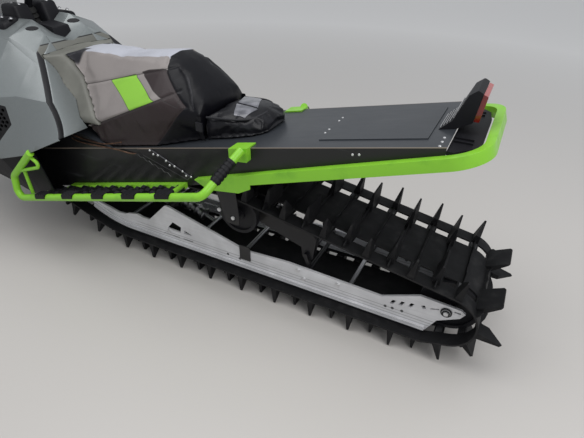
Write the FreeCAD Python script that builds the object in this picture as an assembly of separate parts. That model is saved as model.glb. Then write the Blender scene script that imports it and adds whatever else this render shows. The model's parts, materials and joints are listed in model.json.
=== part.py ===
import FreeCAD, Part
import math
import os

# A long-track mountain snowmobile.
# Millimetres. X runs forward, Y to the left and Z up. The floor is Z = 0.
# While the pieces are made, X is the station: the distance forward of the
# rearmost face of the rear bumper. At the end the whole machine is moved
# back so that the origin lies on the floor below the middle of its box.
# A side outline is a list of (station, height) or (station, height, corner radius).

V = FreeCAD.Vector

# Fits
SEAT_GAP = 0.3          # between a piece and the curved or sloping seat it rests on
RUN_GAP = 6.0           # between pieces that move past each other

# Track
TRACK_WIDTH = 381.0
TRACK_PITCH = 76.2
BELT = 6.0
LUG_HEIGHT = 76.0
LUG_ROOT = 24.0         # thickness of a paddle at the belt
LUG_TIP = 5.0           # and at its tip
FIRST_LUG = 112.4       # along the belt from behind the rear wheel
WINDOW_INSET = 69.5     # middle of a window column from the belt's edge
WINDOW_WIDTH = 34.0
WINDOW_LENGTH = 44.0

# Circles that the outer face of the belt runs round: station, height, radius
REAR_WHEEL = dict(x=16.0, radius=102.0)
TAIL_BEND = dict(x=80.0, radius=30.0)
RAIL_BOW = dict(x=1360.0, radius=518.0)
DRIVE = dict(x=1800.0, z=306.0, radius=106.0)
UPPER_WHEEL = dict(x=785.0, z=354.0, radius=85.0)
TAIL_LIFT = 22.0        # the belt rises this far behind the rails

# Slide rails
RAIL_INSET = 65.5       # inner face from the belt's edge
RAIL_THICK = 20.0       # across the foot
RAIL_WEB = 9.0          # the wall above the foot, at its outer side
RAIL_SOLE = 6.0         # height of the foot inside the web
RAIL_TAIL = 68.0        # station where the flat foot ends
BOW_TURN = 27.5         # degrees that the front bows up
FLANGE_HEIGHT = 16.0
FLANGE_REACH = 8.0
GROOVE = 3.0
SLIDER = 12.0
SLIDER_LAP = 4.0
AXLE_D = 25.0
ROD_D = 16.0

# Wheels and drivers
WHEEL_RIM = 12.0
WHEEL_WEB = 8.0
HUB_WALL = 12.0
SHAFT_D = 32.0
DRIVE_TEETH = 16
DRIVE_TOOTH = 16.0

# Suspension
ARM_INSET = 29.0        # middle of an arm from the rail's inner face
SQUARE = 24.0
ARM_WIDTH = 30.0        # of the rear arm
LINK = 14.0
ARM_TUBE_D = 28.0
HANGER_THICK = 3.5
SHOCK_COILS = 7

# Tunnel
TUNNEL_ROOM = 9.5       # from the belt's edge to the tunnel's side
SHEET = 3.0
TUNNEL_REAR = (116.0, 774.0)
TUNNEL_BEND = (1330.0, 513.6)
TUNNEL_CROWN = (1500.0, 545.0)
TUNNEL_FRONT = (2020.0, 560.0)
TUNNEL_FLOOR = 215.0
DECK_PAD = 3.0
STRAP = 5.0

# Rear bumper
BUMPER_SLOPE = 18.04    # degrees
BUMPER_FOOT = (905.0, 458.2)
BUMPER_LENGTH = 951.0
BUMPER_HEIGHT = 36.0
BUMPER_WIDTH = 24.0
BUMPER_CORNER = 75.0
GUSSET = 6.0

# Running boards
BOARD_REACH = 175.0     # middle of the outer tube from the tunnel's side
BOARD_TUBE_D = 28.0
BOARD_STRIP = 22.0
BOARD_RISE = 0.278      # climb of the outer tube per unit of length towards the rear
STRIP_RISE = 0.2622
STRIP_HEIGHT = 22.0
RUNG_PITCH = 86.0
RUNG_COUNT = 8
RUNG_WIDTH = 16.0
TOOTH = 8.0

# Body
WALL = 5.0
KNEE_LOW = (1430.0, 573.0)      # the sloping plane that ends the body behind
KNEE_HIGH = (1630.0, 824.0)
SEAT_LOW = (1376.0, 608.0)      # the sloping plane that ends the seat in front
SEAT_HIGH = (1547.0, 790.0)
SEAT_SPLIT = 1100.0
CONSOLE_FOOT = 592.0    # the seat runs on below the console
TRIM_WIDTH = 18.0
KNEE_FOOT = 578.0
KNEE_SPLIT = 100.0      # a dark panel closes the knee plane above the console, this far to each side
HOOD_SPLIT = 205.0
HEX_PITCH = 17.0

# Front end
SPINDLE_X = 2500.0
SKI_STANCE = 940.0
SKI_WIDTH = 165.0
SKI_BACK = 420.0
SKI_FRONT = 620.0
SKI_THICK = 12.0
KEEL_WIDTH = 44.0
WEAR_BAR_D = 10.0
POST_SIZE = 34.0
EYE_SIZE = 50.0
EYE_HEIGHT = 30.0
LOWER_EYE = 205.0
UPPER_EYE = 380.0
PIVOT_D = 30.0
ARM_REACH = 78.0
ARM_Z = 300.0
STEER_ARM = 14.0
TIE_D = 16.0
TIE_PIN_D = 12.0
TIE_INNER_Y = 70.0

# Steering
POST_TILT = 27.0        # degrees
POST_D = 28.0
POST_FOOT = (1990.0, 700.0)
POST_LENGTH = 400.0
BAR_D = 22.2
BAR_HALF = 370.0
BAR_SWEEP = 26.0
BAR_STRAIGHT = 150.0
BAR_DROP = 20.0
GRIP_D = 34.0
GRIP_LENGTH = 126.0

# Worked out from the above
HALF_TRACK = TRACK_WIDTH / 2
HALF_TUNNEL = HALF_TRACK + TUNNEL_ROOM
TUNNEL_INSIDE = HALF_TUNNEL - SHEET
TUNNEL_SLOPE = (TUNNEL_REAR[1] - TUNNEL_BEND[1]) / (TUNNEL_BEND[0] - TUNNEL_REAR[0])
RAIL_IN = HALF_TRACK - RAIL_INSET
RAIL_OUT = RAIL_IN + RAIL_THICK
WEB_IN = RAIL_OUT - RAIL_WEB
RAIL_FOOT = LUG_HEIGHT + BELT + 2 * SEAT_GAP + SLIDER
BOARD_TUBE_Y = HALF_TUNNEL + BOARD_REACH
SPINDLE_Y = SKI_STANCE / 2

# Beyond the whole machine, for pieces that are cut by a plane
FAR_X = 3000.0
FAR_Y = 600.0
FAR_Z = 1300.0

parts = {}


def side_wire(points, y):
    """A closed wire in the plane y through a side outline."""
    return corner_wire([(V(p[0], y, p[1]), p[2] if len(p) > 2 else 0.0) for p in points])


def corner_wire(corners):
    """A closed wire through (point, corner radius) pairs, with an arc at each rounded corner."""
    edges = []
    count = len(corners)
    cuts = []
    for i, (corner, radius) in enumerate(corners):
        before = (corners[i - 1][0] - corner).normalize()
        after = (corners[(i + 1) % count][0] - corner).normalize()
        if radius == 0.0:
            cuts.append((corner, None, corner))
            continue
        half = before.getAngle(after) / 2
        reach = radius / math.tan(half)
        middle = corner + (before + after).normalize() * (radius / math.sin(half) - radius)
        cuts.append((corner + before * reach, middle, corner + after * reach))
    for i, (start, middle, end) in enumerate(cuts):
        if middle is not None:
            edges.append(Part.Arc(start, middle, end).toShape())
        following = cuts[(i + 1) % count][0]
        if (following - end).Length > 1e-6:
            edges.append(Part.LineSegment(end, following).toShape())
    return Part.Wire(edges)


def side_plate(points, low, high):
    """A flat plate between y = low and y = high with the given side outline."""
    return Part.Face(side_wire(points, low)).extrude(V(0, high - low, 0))


def box(x0, x1, y0, y1, z0, z1):
    return Part.makeBox(x1 - x0, y1 - y0, z1 - z0, V(x0, y0, z0))


def rod(start, end, diameter):
    """A round rod from one point to another."""
    start = V(*start)
    end = V(*end)
    return Part.makeCylinder(diameter / 2, (end - start).Length, start, end - start)


def cross_rod(x, z, diameter, low, high):
    """A round rod across the machine."""
    return rod((x, low, z), (x, high, z), diameter)


def mirrored(shape):
    return shape.mirror(V(0, 0, 0), V(0, 1, 0))


def joined(shapes):
    """One shape from several that touch or overlap."""
    first = shapes[0]
    if len(shapes) == 1:
        return first
    return first.fuse(list(shapes[1:])).removeSplitter()


def both_sides(shape):
    return Part.makeCompound([shape, mirrored(shape)])


def bent_bar(points, diameter, bend):
    """A round bar or tube that follows straight runs with an arc at each corner."""
    points = [V(*p) for p in points]
    pieces = []
    start = points[0]
    for i in range(1, len(points) - 1):
        corner = points[i]
        back = (points[i - 1] - corner).normalize()
        onward = (points[i + 1] - corner).normalize()
        half = back.getAngle(onward) / 2
        reach = bend / math.tan(half)
        arc_start = corner + back * reach
        centre = corner + (back + onward).normalize() * (bend / math.sin(half))
        pieces.append(Part.makeCylinder(diameter / 2, (arc_start - start).Length, start, back * -1))
        disc = Part.Face(Part.Wire(Part.makeCircle(diameter / 2, arc_start, back)))
        turn = 180.0 - math.degrees(2 * half)
        pieces.append(disc.revolve(centre, back.cross(onward) * -1, turn))
        start = corner + onward * reach
    end = points[-1]
    pieces.append(Part.makeCylinder(diameter / 2, (end - start).Length, start, end - start))
    return joined(pieces)


def ruled_body(sections):
    """A closed body through polygons that have the same number of corners."""
    wires = [Part.makePolygon([V(*p) for p in corners] + [V(*corners[0])]) for corners in sections]
    return Part.makeLoft(wires, True, True)


def tunnel_height(x):
    """Height of the tunnel's top at a station behind its bend."""
    return TUNNEL_REAR[1] - TUNNEL_SLOPE * (x - TUNNEL_REAR[0])


def board_height(x):
    """Height of the outer board tube's middle at a station."""
    return 277.0 + BOARD_RISE * (1720.0 - x)


def strip_height(x):
    """Height of the top of a board's inner strip at a station."""
    return 290.0 + STRIP_RISE * (1610.0 - x)


# Track path

REAR_WHEEL["z"] = LUG_HEIGHT + TAIL_LIFT + REAR_WHEEL["radius"]
TAIL_BEND["z"] = LUG_HEIGHT + TAIL_BEND["radius"]
RAIL_BOW["z"] = LUG_HEIGHT + RAIL_BOW["radius"]
BELT_CIRCLES = (REAR_WHEEL, TAIL_BEND, RAIL_BOW, DRIVE, UPPER_WHEEL)


def belt_runs(inset):
    """Straight runs of the belt as (start, end, direction, outward), inset from its outer face."""
    runs = []
    for i, first in enumerate(BELT_CIRCLES):
        second = BELT_CIRCLES[(i + 1) % len(BELT_CIRCLES)]
        gap = V(second["x"] - first["x"], 0, second["z"] - first["z"])
        lean = math.asin((first["radius"] - second["radius"]) / gap.Length)
        heading = math.atan2(gap.z, gap.x) + lean
        along = V(math.cos(heading), 0, math.sin(heading))
        outward = V(math.sin(heading), 0, -math.cos(heading))
        start = V(first["x"], 0, first["z"]) + outward * (first["radius"] - inset)
        end = V(second["x"], 0, second["z"]) + outward * (second["radius"] - inset)
        runs.append((start, end, along, outward))
    return runs


def belt_wire(inset, y):
    """The closed path of the belt in the plane y."""
    runs = belt_runs(inset)
    edges = []
    lift = V(0, y, 0)
    for i, (start, end, along, outward) in enumerate(runs):
        edges.append(Part.LineSegment(start + lift, end + lift).toShape())
        circle = BELT_CIRCLES[(i + 1) % len(BELT_CIRCLES)]
        centre = V(circle["x"], 0, circle["z"])
        after = runs[(i + 1) % len(runs)]
        half_turn = math.degrees(along.getAngle(after[2])) / 2
        middle = FreeCAD.Rotation(V(0, -1, 0), half_turn).multVec(outward)
        middle = centre + middle * (circle["radius"] - inset)
        edges.append(Part.Arc(end + lift, middle + lift, after[0] + lift).toShape())
    return Part.Wire(edges)


def belt_length():
    """Length of the outer face of the belt."""
    return belt_wire(0.0, 0.0).Length


def belt_frames(count):
    """Evenly spaced places on the outer face of the belt, as (point, along, outward)."""
    runs = belt_runs(0.0)
    legs = []
    for i, (start, end, along, outward) in enumerate(runs):
        legs.append(("run", (end - start).Length, start, along, outward))
        circle = BELT_CIRCLES[(i + 1) % len(BELT_CIRCLES)]
        turn = along.getAngle(runs[(i + 1) % len(runs)][2])
        centre = V(circle["x"], 0, circle["z"])
        legs.append(("arc", turn * circle["radius"], centre, outward, circle["radius"]))
    total = sum(leg[1] for leg in legs)
    frames = []
    for i in range(count):
        distance = (FIRST_LUG + total * i / count) % total
        for kind, length, origin, first, second in legs:
            if distance <= length:
                break
            distance -= length
        if kind == "run":
            frames.append((origin + first * distance, first, second))
        else:
            turned = FreeCAD.Rotation(V(0, -1, 0), math.degrees(distance / second)).multVec(first)
            onward = V(-turned.z, 0, turned.x)
            frames.append((origin + turned * second, onward, turned))
    return frames


def on_belt(shape, frame):
    """A copy of a shape made about the origin, set on the belt with its Z pointing away from it."""
    point, along, outward = frame
    copy = shape.copy()
    turn = FreeCAD.Rotation(along, outward.cross(along), outward, "XZY")
    copy.Placement = FreeCAD.Placement(point, turn)
    return copy


WINDOW_MID = HALF_TRACK - WINDOW_INSET
WINDOW_IN = WINDOW_MID - WINDOW_WIDTH / 2
WINDOW_OUT = WINDOW_MID + WINDOW_WIDTH / 2
PADDLE_EDGE = 2.5       # from a paddle to the belt's edge
# Outlines of the paddles: distance from the centre plane, share of the lug height
EDGE_PADDLE = (
    (WINDOW_OUT, 0.0), (HALF_TRACK - PADDLE_EDGE, 0.0), (HALF_TRACK - PADDLE_EDGE, 0.92),
    (HALF_TRACK - 10.0, 1.0), (WINDOW_OUT, 0.40))
MIDDLE_PADDLE = (
    (64.0, 0.0), (162.0, 0.0), (162.0, 0.93), (156.0, 1.0), (70.0, 1.0), (64.0, 0.93))


def paddle(outline):
    """A paddle about the origin with a thick root and a thin tip, and its mirror image."""
    face = Part.makePolygon([
        V(-LUG_ROOT / 2, y, LUG_HEIGHT * share if share else -BELT / 2) for y, share in outline + outline[:1]])
    slab = Part.Face(face).extrude(V(LUG_ROOT, 0, 0))
    taper = ((-LUG_ROOT / 2, -BELT), (LUG_ROOT / 2, -BELT), (LUG_ROOT / 2, 0.0), (LUG_TIP / 2, LUG_HEIGHT),
             (-LUG_TIP / 2, LUG_HEIGHT), (-LUG_ROOT / 2, 0.0))
    one = slab.common(side_plate(taper, 0.0, HALF_TRACK))
    return one, mirrored(one)


def make_track():
    belt = Part.Face(belt_wire(0.0, -HALF_TRACK)).extrude(V(0, TRACK_WIDTH, 0))
    belt = belt.cut(Part.Face(belt_wire(BELT, -HALF_TRACK)).extrude(V(0, TRACK_WIDTH, 0)))
    rows = 2 * round(belt_length() / TRACK_PITCH / 2)
    kinds = (paddle(MIDDLE_PADDLE), paddle(EDGE_PADDLE))
    paddles = []
    for i, frame in enumerate(belt_frames(rows)):
        paddles += [on_belt(one, frame) for one in kinds[i % 2]]
    half = WINDOW_LENGTH / 2
    window = box(-half, half, WINDOW_IN, WINDOW_OUT, -3 * BELT, 3 * BELT)
    windows = []
    for frame in belt_frames(2 * rows)[1::2]:
        windows += [on_belt(window, frame), on_belt(mirrored(window), frame)]
    return belt.cut(windows).fuse(paddles).removeSplitter()


parts["track"] = make_track()

# Slide rails and what rides on them

BOW_RADIUS = RAIL_BOW["z"] - RAIL_FOOT


def bow_point(radius, degrees):
    turn = math.radians(degrees)
    return RAIL_BOW["x"] + radius * math.sin(turn), RAIL_BOW["z"] - radius * math.cos(turn)


def bow_arc(radius, y, start, end):
    points = [bow_point(radius, a) for a in (start, (start + end) / 2, end)]
    return Part.Arc(*[V(x, y, z) for x, z in points]).toShape()


def bowed_plate(top, depth, rear, low, high):
    """A plate whose lower edge is flat and then bows up at the front, with a free upper outline."""
    foot = RAIL_BOW["z"] - depth
    edges = [Part.LineSegment(V(rear, low, foot), V(RAIL_BOW["x"], low, foot)).toShape()]
    edges.append(bow_arc(depth, low, 0.0, BOW_TURN))
    x, z = bow_point(depth, BOW_TURN)
    points = [V(x, low, z)] + [V(px, low, pz) for px, pz in top] + [V(rear, low, foot)]
    for a, b in zip(points[:-1], points[1:]):
        edges.append(Part.LineSegment(a, b).toShape())
    return Part.Face(Part.Wire(edges)).extrude(V(0, high - low, 0))


def bowed_strip(outer_radius, inner_radius, rear, low, high):
    """A strip of even depth that runs flat and then bows up with the rail."""
    foot = RAIL_BOW["z"] - outer_radius
    top = RAIL_BOW["z"] - inner_radius
    bow = RAIL_BOW["x"]
    tip_low = bow_point(outer_radius, BOW_TURN)
    tip_high = bow_point(inner_radius, BOW_TURN)
    edges = [
        Part.LineSegment(V(rear, low, foot), V(bow, low, foot)).toShape(),
        bow_arc(outer_radius, low, 0.0, BOW_TURN),
        Part.LineSegment(V(tip_low[0], low, tip_low[1]), V(tip_high[0], low, tip_high[1])).toShape(),
        bow_arc(inner_radius, low, BOW_TURN, 0.0),
        Part.LineSegment(V(bow, low, top), V(rear, low, top)).toShape(),
        Part.LineSegment(V(rear, low, top), V(rear, low, foot)).toShape()]
    return Part.Face(Part.Wire(edges)).extrude(V(0, high - low, 0))


# Upper outline of a rail from its front tip back to its tail
RAIL_TOP = (
    (1600.0, 186.0), (1492.0, 168.0), (1447.0, 156.0), (1398.0, 160.0), (1386.0, 168.0), (1328.0, 180.0),
    (1300.0, 172.0), (1262.0, 172.0), (1168.0, 264.0), (1158.0, 272.0), (1142.0, 272.0), (780.0, 178.0),
    (749.0, 178.0), (590.0, 188.0), (230.0, 176.0), (104.0, 232.0), (-27.0, 224.0), (-41.0, 213.0),
    (-28.0, 191.0), (38.0, 152.0))
# Windows of the triangular plate, the slots of the foot, and the slots and openings of the tail
RAIL_WINDOWS = (
    ((1167.0, 158.0, 4.0), (1130.0, 200.0, 4.0), (1088.0, 187.0, 4.0), (1095.0, 157.0, 4.0)),
    ((1076.0, 159.0, 3.0), (1074.0, 176.0, 3.0), (1021.0, 159.0, 3.0)),
    ((1187.0, 126.0), (1187.0, 131.0), (1104.0, 132.0), (1104.0, 127.0)),
    ((1086.0, 127.0), (1086.0, 132.0), (1034.0, 133.0), (1034.0, 128.0)),
    ((96.0, 194.0), (84.0, 198.0), (78.0, 186.0), (90.0, 182.0)),
    ((66.0, 190.0), (64.0, 196.0), (38.0, 204.0), (40.0, 198.0)),
    ((-6.0, 208.0), (-7.0, 214.0), (-28.0, 213.0), (-26.0, 207.0)))
# Sloping slots of the tail: station and height of the lower end
TAIL_SLOTS = ((187.0, 158.0), (157.0, 164.0), (126.0, 170.0))
SLOT_WIDTH = 12.0
SLOT_RISE = 20.0
BEAD = (26.0, 31.0)     # lower and upper depth of the bead above the bowed foot
BEAD_REACH = 4.0
BEAD_REAR = 1330.0

rail = bowed_plate(RAIL_TOP, BOW_RADIUS, RAIL_TAIL, WEB_IN, RAIL_OUT)
rail_cuts = [side_plate(w, RAIL_IN - 1, RAIL_OUT + 1) for w in RAIL_WINDOWS]
for x, z in TAIL_SLOTS:
    lean = SLOT_RISE / 2
    slot = ((x, z), (x + SLOT_WIDTH, z), (x + SLOT_WIDTH - lean, z + SLOT_RISE), (x - lean, z + SLOT_RISE))
    rail_cuts.append(side_plate(slot, RAIL_IN - 1, RAIL_OUT + 1))
rail_cuts.append(cross_rod(
    REAR_WHEEL["x"], REAR_WHEEL["z"], AXLE_D + 2 * SEAT_GAP, RAIL_IN - 1, RAIL_OUT + 1))
rail = rail.cut(rail_cuts)
flange = bowed_strip(BOW_RADIUS, BOW_RADIUS - FLANGE_HEIGHT, RAIL_TAIL + GROOVE, RAIL_OUT, RAIL_OUT + FLANGE_REACH)
groove_top = BOW_RADIUS - FLANGE_HEIGHT / 2
groove = bowed_strip(
    groove_top, groove_top - GROOVE, RAIL_TAIL, RAIL_OUT + FLANGE_REACH - GROOVE, RAIL_OUT + FLANGE_REACH)
bead = bowed_strip(BOW_RADIUS - BEAD[0], BOW_RADIUS - BEAD[1], BEAD_REAR, RAIL_OUT, RAIL_OUT + BEAD_REACH)
sole = bowed_strip(BOW_RADIUS, BOW_RADIUS - RAIL_SOLE, RAIL_TAIL + GROOVE, RAIL_IN, WEB_IN)
rail = joined([rail, sole, flange.cut(groove), bead])
parts["slide_rail_left"] = rail
parts["slide_rail_right"] = mirrored(rail)

slider_top = BOW_RADIUS + SEAT_GAP
slider = bowed_strip(
    slider_top + SLIDER, slider_top, RAIL_TAIL + SLIDER, RAIL_IN - SLIDER_LAP, RAIL_OUT + SLIDER_LAP)
parts["rail_sliders"] = both_sides(slider)


def wheel(x, z, radius, bore_radius, low, high):
    """An idler wheel as a rim, a web and a hub."""
    middle = (low + high) / 2
    rim = cross_rod(x, z, 2 * radius, low, high).cut(cross_rod(x, z, 2 * (radius - WHEEL_RIM), low, high))
    web = cross_rod(x, z, 2 * radius - WHEEL_RIM, middle - WHEEL_WEB / 2, middle + WHEEL_WEB / 2)
    hub = cross_rod(x, z, 2 * (bore_radius + HUB_WALL), low, high)
    return joined([rim, web, hub])


def idler_axle(circle, reach, wheels):
    """An axle and its wheels; wheels are (inner side, outer side) from the centre plane."""
    radius = circle["radius"] - BELT - SEAT_GAP
    shapes = [cross_rod(circle["x"], circle["z"], AXLE_D, -reach, reach)]
    for low, high in wheels:
        one = wheel(circle["x"], circle["z"], radius, AXLE_D / 2, low, high)
        shapes += [one, mirrored(one)]
    return joined(shapes)


# Wheels inside the rails: distance of the near side from the rail, and width
WHEEL_SPACE = 13.0
WHEEL_WIDTH = 24.0
# Sides of the upper wheels
UPPER_WHEELS = ((36.0, 58.0), (140.0, 164.0))
WASHER_D = 36.0
WASHER = 4.0
inner_side = RAIL_IN - WHEEL_SPACE
washer = cross_rod(
    REAR_WHEEL["x"], REAR_WHEEL["z"], WASHER_D, RAIL_OUT + SEAT_GAP, RAIL_OUT + SEAT_GAP + WASHER)
rear_axle = idler_axle(REAR_WHEEL, RAIL_OUT + 2 * WASHER, ((inner_side - WHEEL_WIDTH, inner_side),))
parts["rear_idlers"] = joined([rear_axle, washer, mirrored(washer)])
parts["upper_idlers"] = idler_axle(UPPER_WHEEL, TUNNEL_INSIDE - SEAT_GAP, UPPER_WHEELS)


def drive_wheel(low, high, radius):
    """A drive wheel with square teeth round its rim."""
    disc = cross_rod(DRIVE["x"], DRIVE["z"], 2 * radius, low, high)
    notch = math.pi * radius / DRIVE_TEETH
    cutters = []
    for i in range(DRIVE_TEETH):
        cutter = box(radius - DRIVE_TOOTH, radius + 1, low - 1, high + 1, -notch / 2, notch / 2)
        cutter.rotate(V(0, 0, 0), V(0, 1, 0), 360.0 * i / DRIVE_TEETH)
        cutter.translate(V(DRIVE["x"], 0, DRIVE["z"]))
        cutters.append(cutter)
    return disc.cut(cutters)


DRIVE_SIDES = (62.0, 92.0)
shaft_reach = TUNNEL_INSIDE - SEAT_GAP
drive_shaft = cross_rod(DRIVE["x"], DRIVE["z"], SHAFT_D, -shaft_reach, shaft_reach)
driver = drive_wheel(*DRIVE_SIDES, DRIVE["radius"] - BELT - SEAT_GAP)
parts["drive_axle"] = joined([drive_shaft, driver, mirrored(driver)])

# Suspension arms

ARM_Y = RAIL_IN - ARM_INSET
REAR_ARM_FOOT = (530.0, 226.0)
REAR_LINK = ((530.0, 226.0), (516.0, 188.0), (516.0, 160.0))
REAR_ARM = (
    (UPPER_WHEEL["x"], 376.0), (614.0, 334.0), (506.0, 316.0), (494.0, 300.0), (506.0, 205.0, 10.0), (546.0, 205.0, 10.0),
    (552.0, 252.0), (627.0, 276.0), (UPPER_WHEEL["x"], 330.0))
FRONT_ARM_TOP = (1430.0, 372.0)
FRONT_ARM_FOOT = (1155.0, 258.0)
SHOCK_TUBE = (1380.0, 300.0)
SHOCK_FOOT = (1020.0, 152.0)
RAIL_RODS = (SHOCK_FOOT, (347.0, 166.0), (1400.0, 136.0))
SADDLE_ROD = (768.0, 188.0)
SADDLE_PLATE = ((753.0, 134.0), (753.0, 200.0, 6.0), (800.0, 200.0, 6.0), (800.0, 134.0))
SADDLE_THICK = 4.0


def square_bar(start, end, y, size):
    """A square bar parallel to the centre plane, between two (station, height) points."""
    run = V(end[0] - start[0], 0, end[1] - start[1])
    across = V(-run.z, 0, run.x).normalize() * (size / 2)
    a = V(start[0], y - size / 2, start[1])
    b = V(end[0], y - size / 2, end[1])
    corners = [a + across, b + across, b - across, a - across]
    return Part.Face(Part.makePolygon(corners + [corners[0]])).extrude(V(0, size, 0))


def cross_tube(place, diameter, reach):
    """A round tube across the machine, as far out on each side."""
    return cross_rod(place[0], place[1], diameter, -reach, reach)


hub_bore = AXLE_D + 2 * SEAT_GAP
upper = (UPPER_WHEEL["x"], UPPER_WHEEL["z"])
rail_reach = WEB_IN - SEAT_GAP
collar = hub_bore + 2 * HUB_WALL - 6.0
arm = joined([
    side_plate(REAR_ARM, ARM_Y - ARM_WIDTH / 2, ARM_Y + ARM_WIDTH / 2),
    cross_rod(*upper, collar, ARM_Y - ARM_WIDTH / 2 - 2, ARM_Y + ARM_WIDTH / 2 + 2)])
arm = arm.cut(cross_rod(*upper, hub_bore, ARM_Y - ARM_WIDTH, ARM_Y + ARM_WIDTH))
link_y = RAIL_IN - LINK / 2 - 1
link = joined([square_bar(a, b, link_y, LINK) for a, b in zip(REAR_LINK, REAR_LINK[1:])])
parts["rear_arm"] = joined([
    arm, mirrored(arm), cross_tube(REAR_ARM_FOOT, SQUARE + 6.0, ARM_Y + ROD_D),
    cross_tube(REAR_ARM_FOOT, ROD_D + 2.0, RAIL_IN - 1), link, mirrored(link),
    cross_tube(REAR_LINK[-1], ROD_D, rail_reach)])

arm = square_bar(FRONT_ARM_TOP, FRONT_ARM_FOOT, ARM_Y, SQUARE)
drop = square_bar((SHOCK_TUBE[0], 350.0), SHOCK_TUBE, ARM_Y, ROD_D)
parts["front_arm"] = joined([
    arm, mirrored(arm), cross_tube(FRONT_ARM_TOP, ARM_TUBE_D, shaft_reach),
    cross_tube(FRONT_ARM_FOOT, ARM_TUBE_D, rail_reach), drop, mirrored(drop),
    cross_tube(SHOCK_TUBE, ROD_D, ARM_Y + ROD_D / 2)])

saddle_face = RAIL_OUT + SEAT_GAP
saddle = side_plate(SADDLE_PLATE, saddle_face, saddle_face + SADDLE_THICK)
saddle_rod = joined([cross_tube(SADDLE_ROD, ROD_D, saddle_face + 1), saddle, mirrored(saddle)])
parts["cross_rods"] = Part.makeCompound([cross_tube(p, ROD_D, rail_reach) for p in RAIL_RODS] + [saddle_rod])


def shock(top, foot, body_d, spring_d):
    """A coil-over damper turned in one piece: eyes, body, rod, spring seats and coils."""
    top = V(*top)
    foot = V(*foot)
    length = (foot - top).Length
    rod_r = 0.2 * body_d
    spring_r = spring_d / 2
    inner_r = 0.7 * spring_r
    start = 0.16 * length
    end = 0.86 * length
    collar = 6.0
    pitch = (end - start) / SHOCK_COILS
    profile = [(0.0, 0.0), (rod_r, 0.0), (body_d / 2, 0.08 * length), (body_d / 2, start - collar),
               (spring_r, start - collar)]
    for i in range(SHOCK_COILS):
        at = start + i * pitch
        profile += [(spring_r, at), (inner_r, at + 0.3 * pitch), (inner_r, at + 0.7 * pitch)]
    profile += [(spring_r, end), (spring_r, end + collar), (rod_r, end + collar), (rod_r, length), (0.0, length)]
    wire = Part.makePolygon([V(r, 0, h) for r, h in profile] + [V(0, 0, 0)])
    turned = Part.Face(wire).revolve(V(0, 0, 0), V(0, 0, 1), 360)
    turned.Placement = FreeCAD.Placement(top, FreeCAD.Rotation(V(0, 0, 1), foot - top))
    return turned


def shock_between(top, foot, clear, body_d, spring_d):
    """A damper on the centre plane whose ends stop short of two cross tubes."""
    top = V(top[0], 0, top[1])
    foot = V(foot[0], 0, foot[1])
    along = (foot - top).normalize()
    return shock(top + along * clear, foot - along * clear, body_d, spring_d)


parts["track_shocks"] = Part.makeCompound([
    shock_between(SHOCK_TUBE, SHOCK_FOOT, ROD_D / 2 + SEAT_GAP, 38.0, 58.0),
    shock_between(upper, REAR_ARM_FOOT, SQUARE / 2 + 3.0 + SEAT_GAP, 32.0, 48.0)])

# Tunnel

TUNNEL_TOP = (TUNNEL_REAR, TUNNEL_BEND, TUNNEL_CROWN, TUNNEL_FRONT)
TUNNEL_EDGE = (
    (TUNNEL_FRONT[0], TUNNEL_FLOOR), (1760.0, 238.0), (1610.0, 278.0), (973.0, 443.0), (700.0, 526.0), (TUNNEL_REAR[0], 722.0))
STRAP_OUTLINE = ((1184.0, 543.0), (1121.0, 557.0), (948.0, 484.0, 6.0), (964.0, 469.0, 6.0), (1160.0, 524.0))
PAD_ENDS = (175.0, 488.0)   # raised pad of the rear deck
PAD_HALF = 140.0


def slope_plate(rear, front, below, above, low, high):
    """A plate that lies along the tunnel's sloping top, between two heights from it."""
    outline = [(rear, below), (rear, above), (front, above), (front, below)]
    return side_plate([(x, tunnel_height(x) + lift) for x, lift in outline], low, high)


top = list(TUNNEL_TOP)
roof = side_plate(top + [(x, z - SHEET) for x, z in reversed(top)], -HALF_TUNNEL, HALF_TUNNEL)
tunnel_side = side_plate(top + list(TUNNEL_EDGE), TUNNEL_INSIDE, HALF_TUNNEL)
front = box(TUNNEL_FRONT[0] - SHEET, TUNNEL_FRONT[0], -HALF_TUNNEL, HALF_TUNNEL, TUNNEL_FLOOR, TUNNEL_FRONT[1])
strap = side_plate(STRAP_OUTLINE, HALF_TUNNEL, HALF_TUNNEL + STRAP)
pad = slope_plate(*PAD_ENDS, 0.0, DECK_PAD, -PAD_HALF, PAD_HALF)
parts["tunnel"] = joined([roof, tunnel_side, mirrored(tunnel_side), front, strap, mirrored(strap), pad])

HANGER = ((872.0, 540.0), (775.0, 560.0), (758.0, 372.0, 10.0), (760.0, 330.0, 12.0), (815.0, 330.0, 16.0))
hanger_out = TUNNEL_INSIDE - SEAT_GAP
hanger = side_plate(HANGER, hanger_out - HANGER_THICK, hanger_out)
hanger = hanger.cut(cross_rod(*upper, hub_bore, hanger_out - 2 * HANGER_THICK, hanger_out + 1))
parts["suspension_hangers"] = both_sides(hanger)

# Rear end

BUMPER_Y = HALF_TUNNEL + SEAT_GAP
GUSSET_OUTLINE = ((850.0, 468.0), (850.0, 482.0), (690.0, 534.0), (690.0, 512.0), (735.0, 486.0))


def u_wire(length, half, corner):
    corners = [(V(0, -half, 0), 0.0), (V(-length, -half, 0), corner),
               (V(-length, half, 0), corner), (V(0, half, 0), 0.0)]
    return corner_wire(corners)


outer = Part.Face(u_wire(BUMPER_LENGTH, BUMPER_Y + BUMPER_WIDTH, BUMPER_CORNER + BUMPER_WIDTH))
inner = Part.Face(u_wire(BUMPER_LENGTH - BUMPER_WIDTH, BUMPER_Y, BUMPER_CORNER))
bumper = outer.extrude(V(0, 0, BUMPER_HEIGHT)).cut(inner.extrude(V(0, 0, BUMPER_HEIGHT)))
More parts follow.
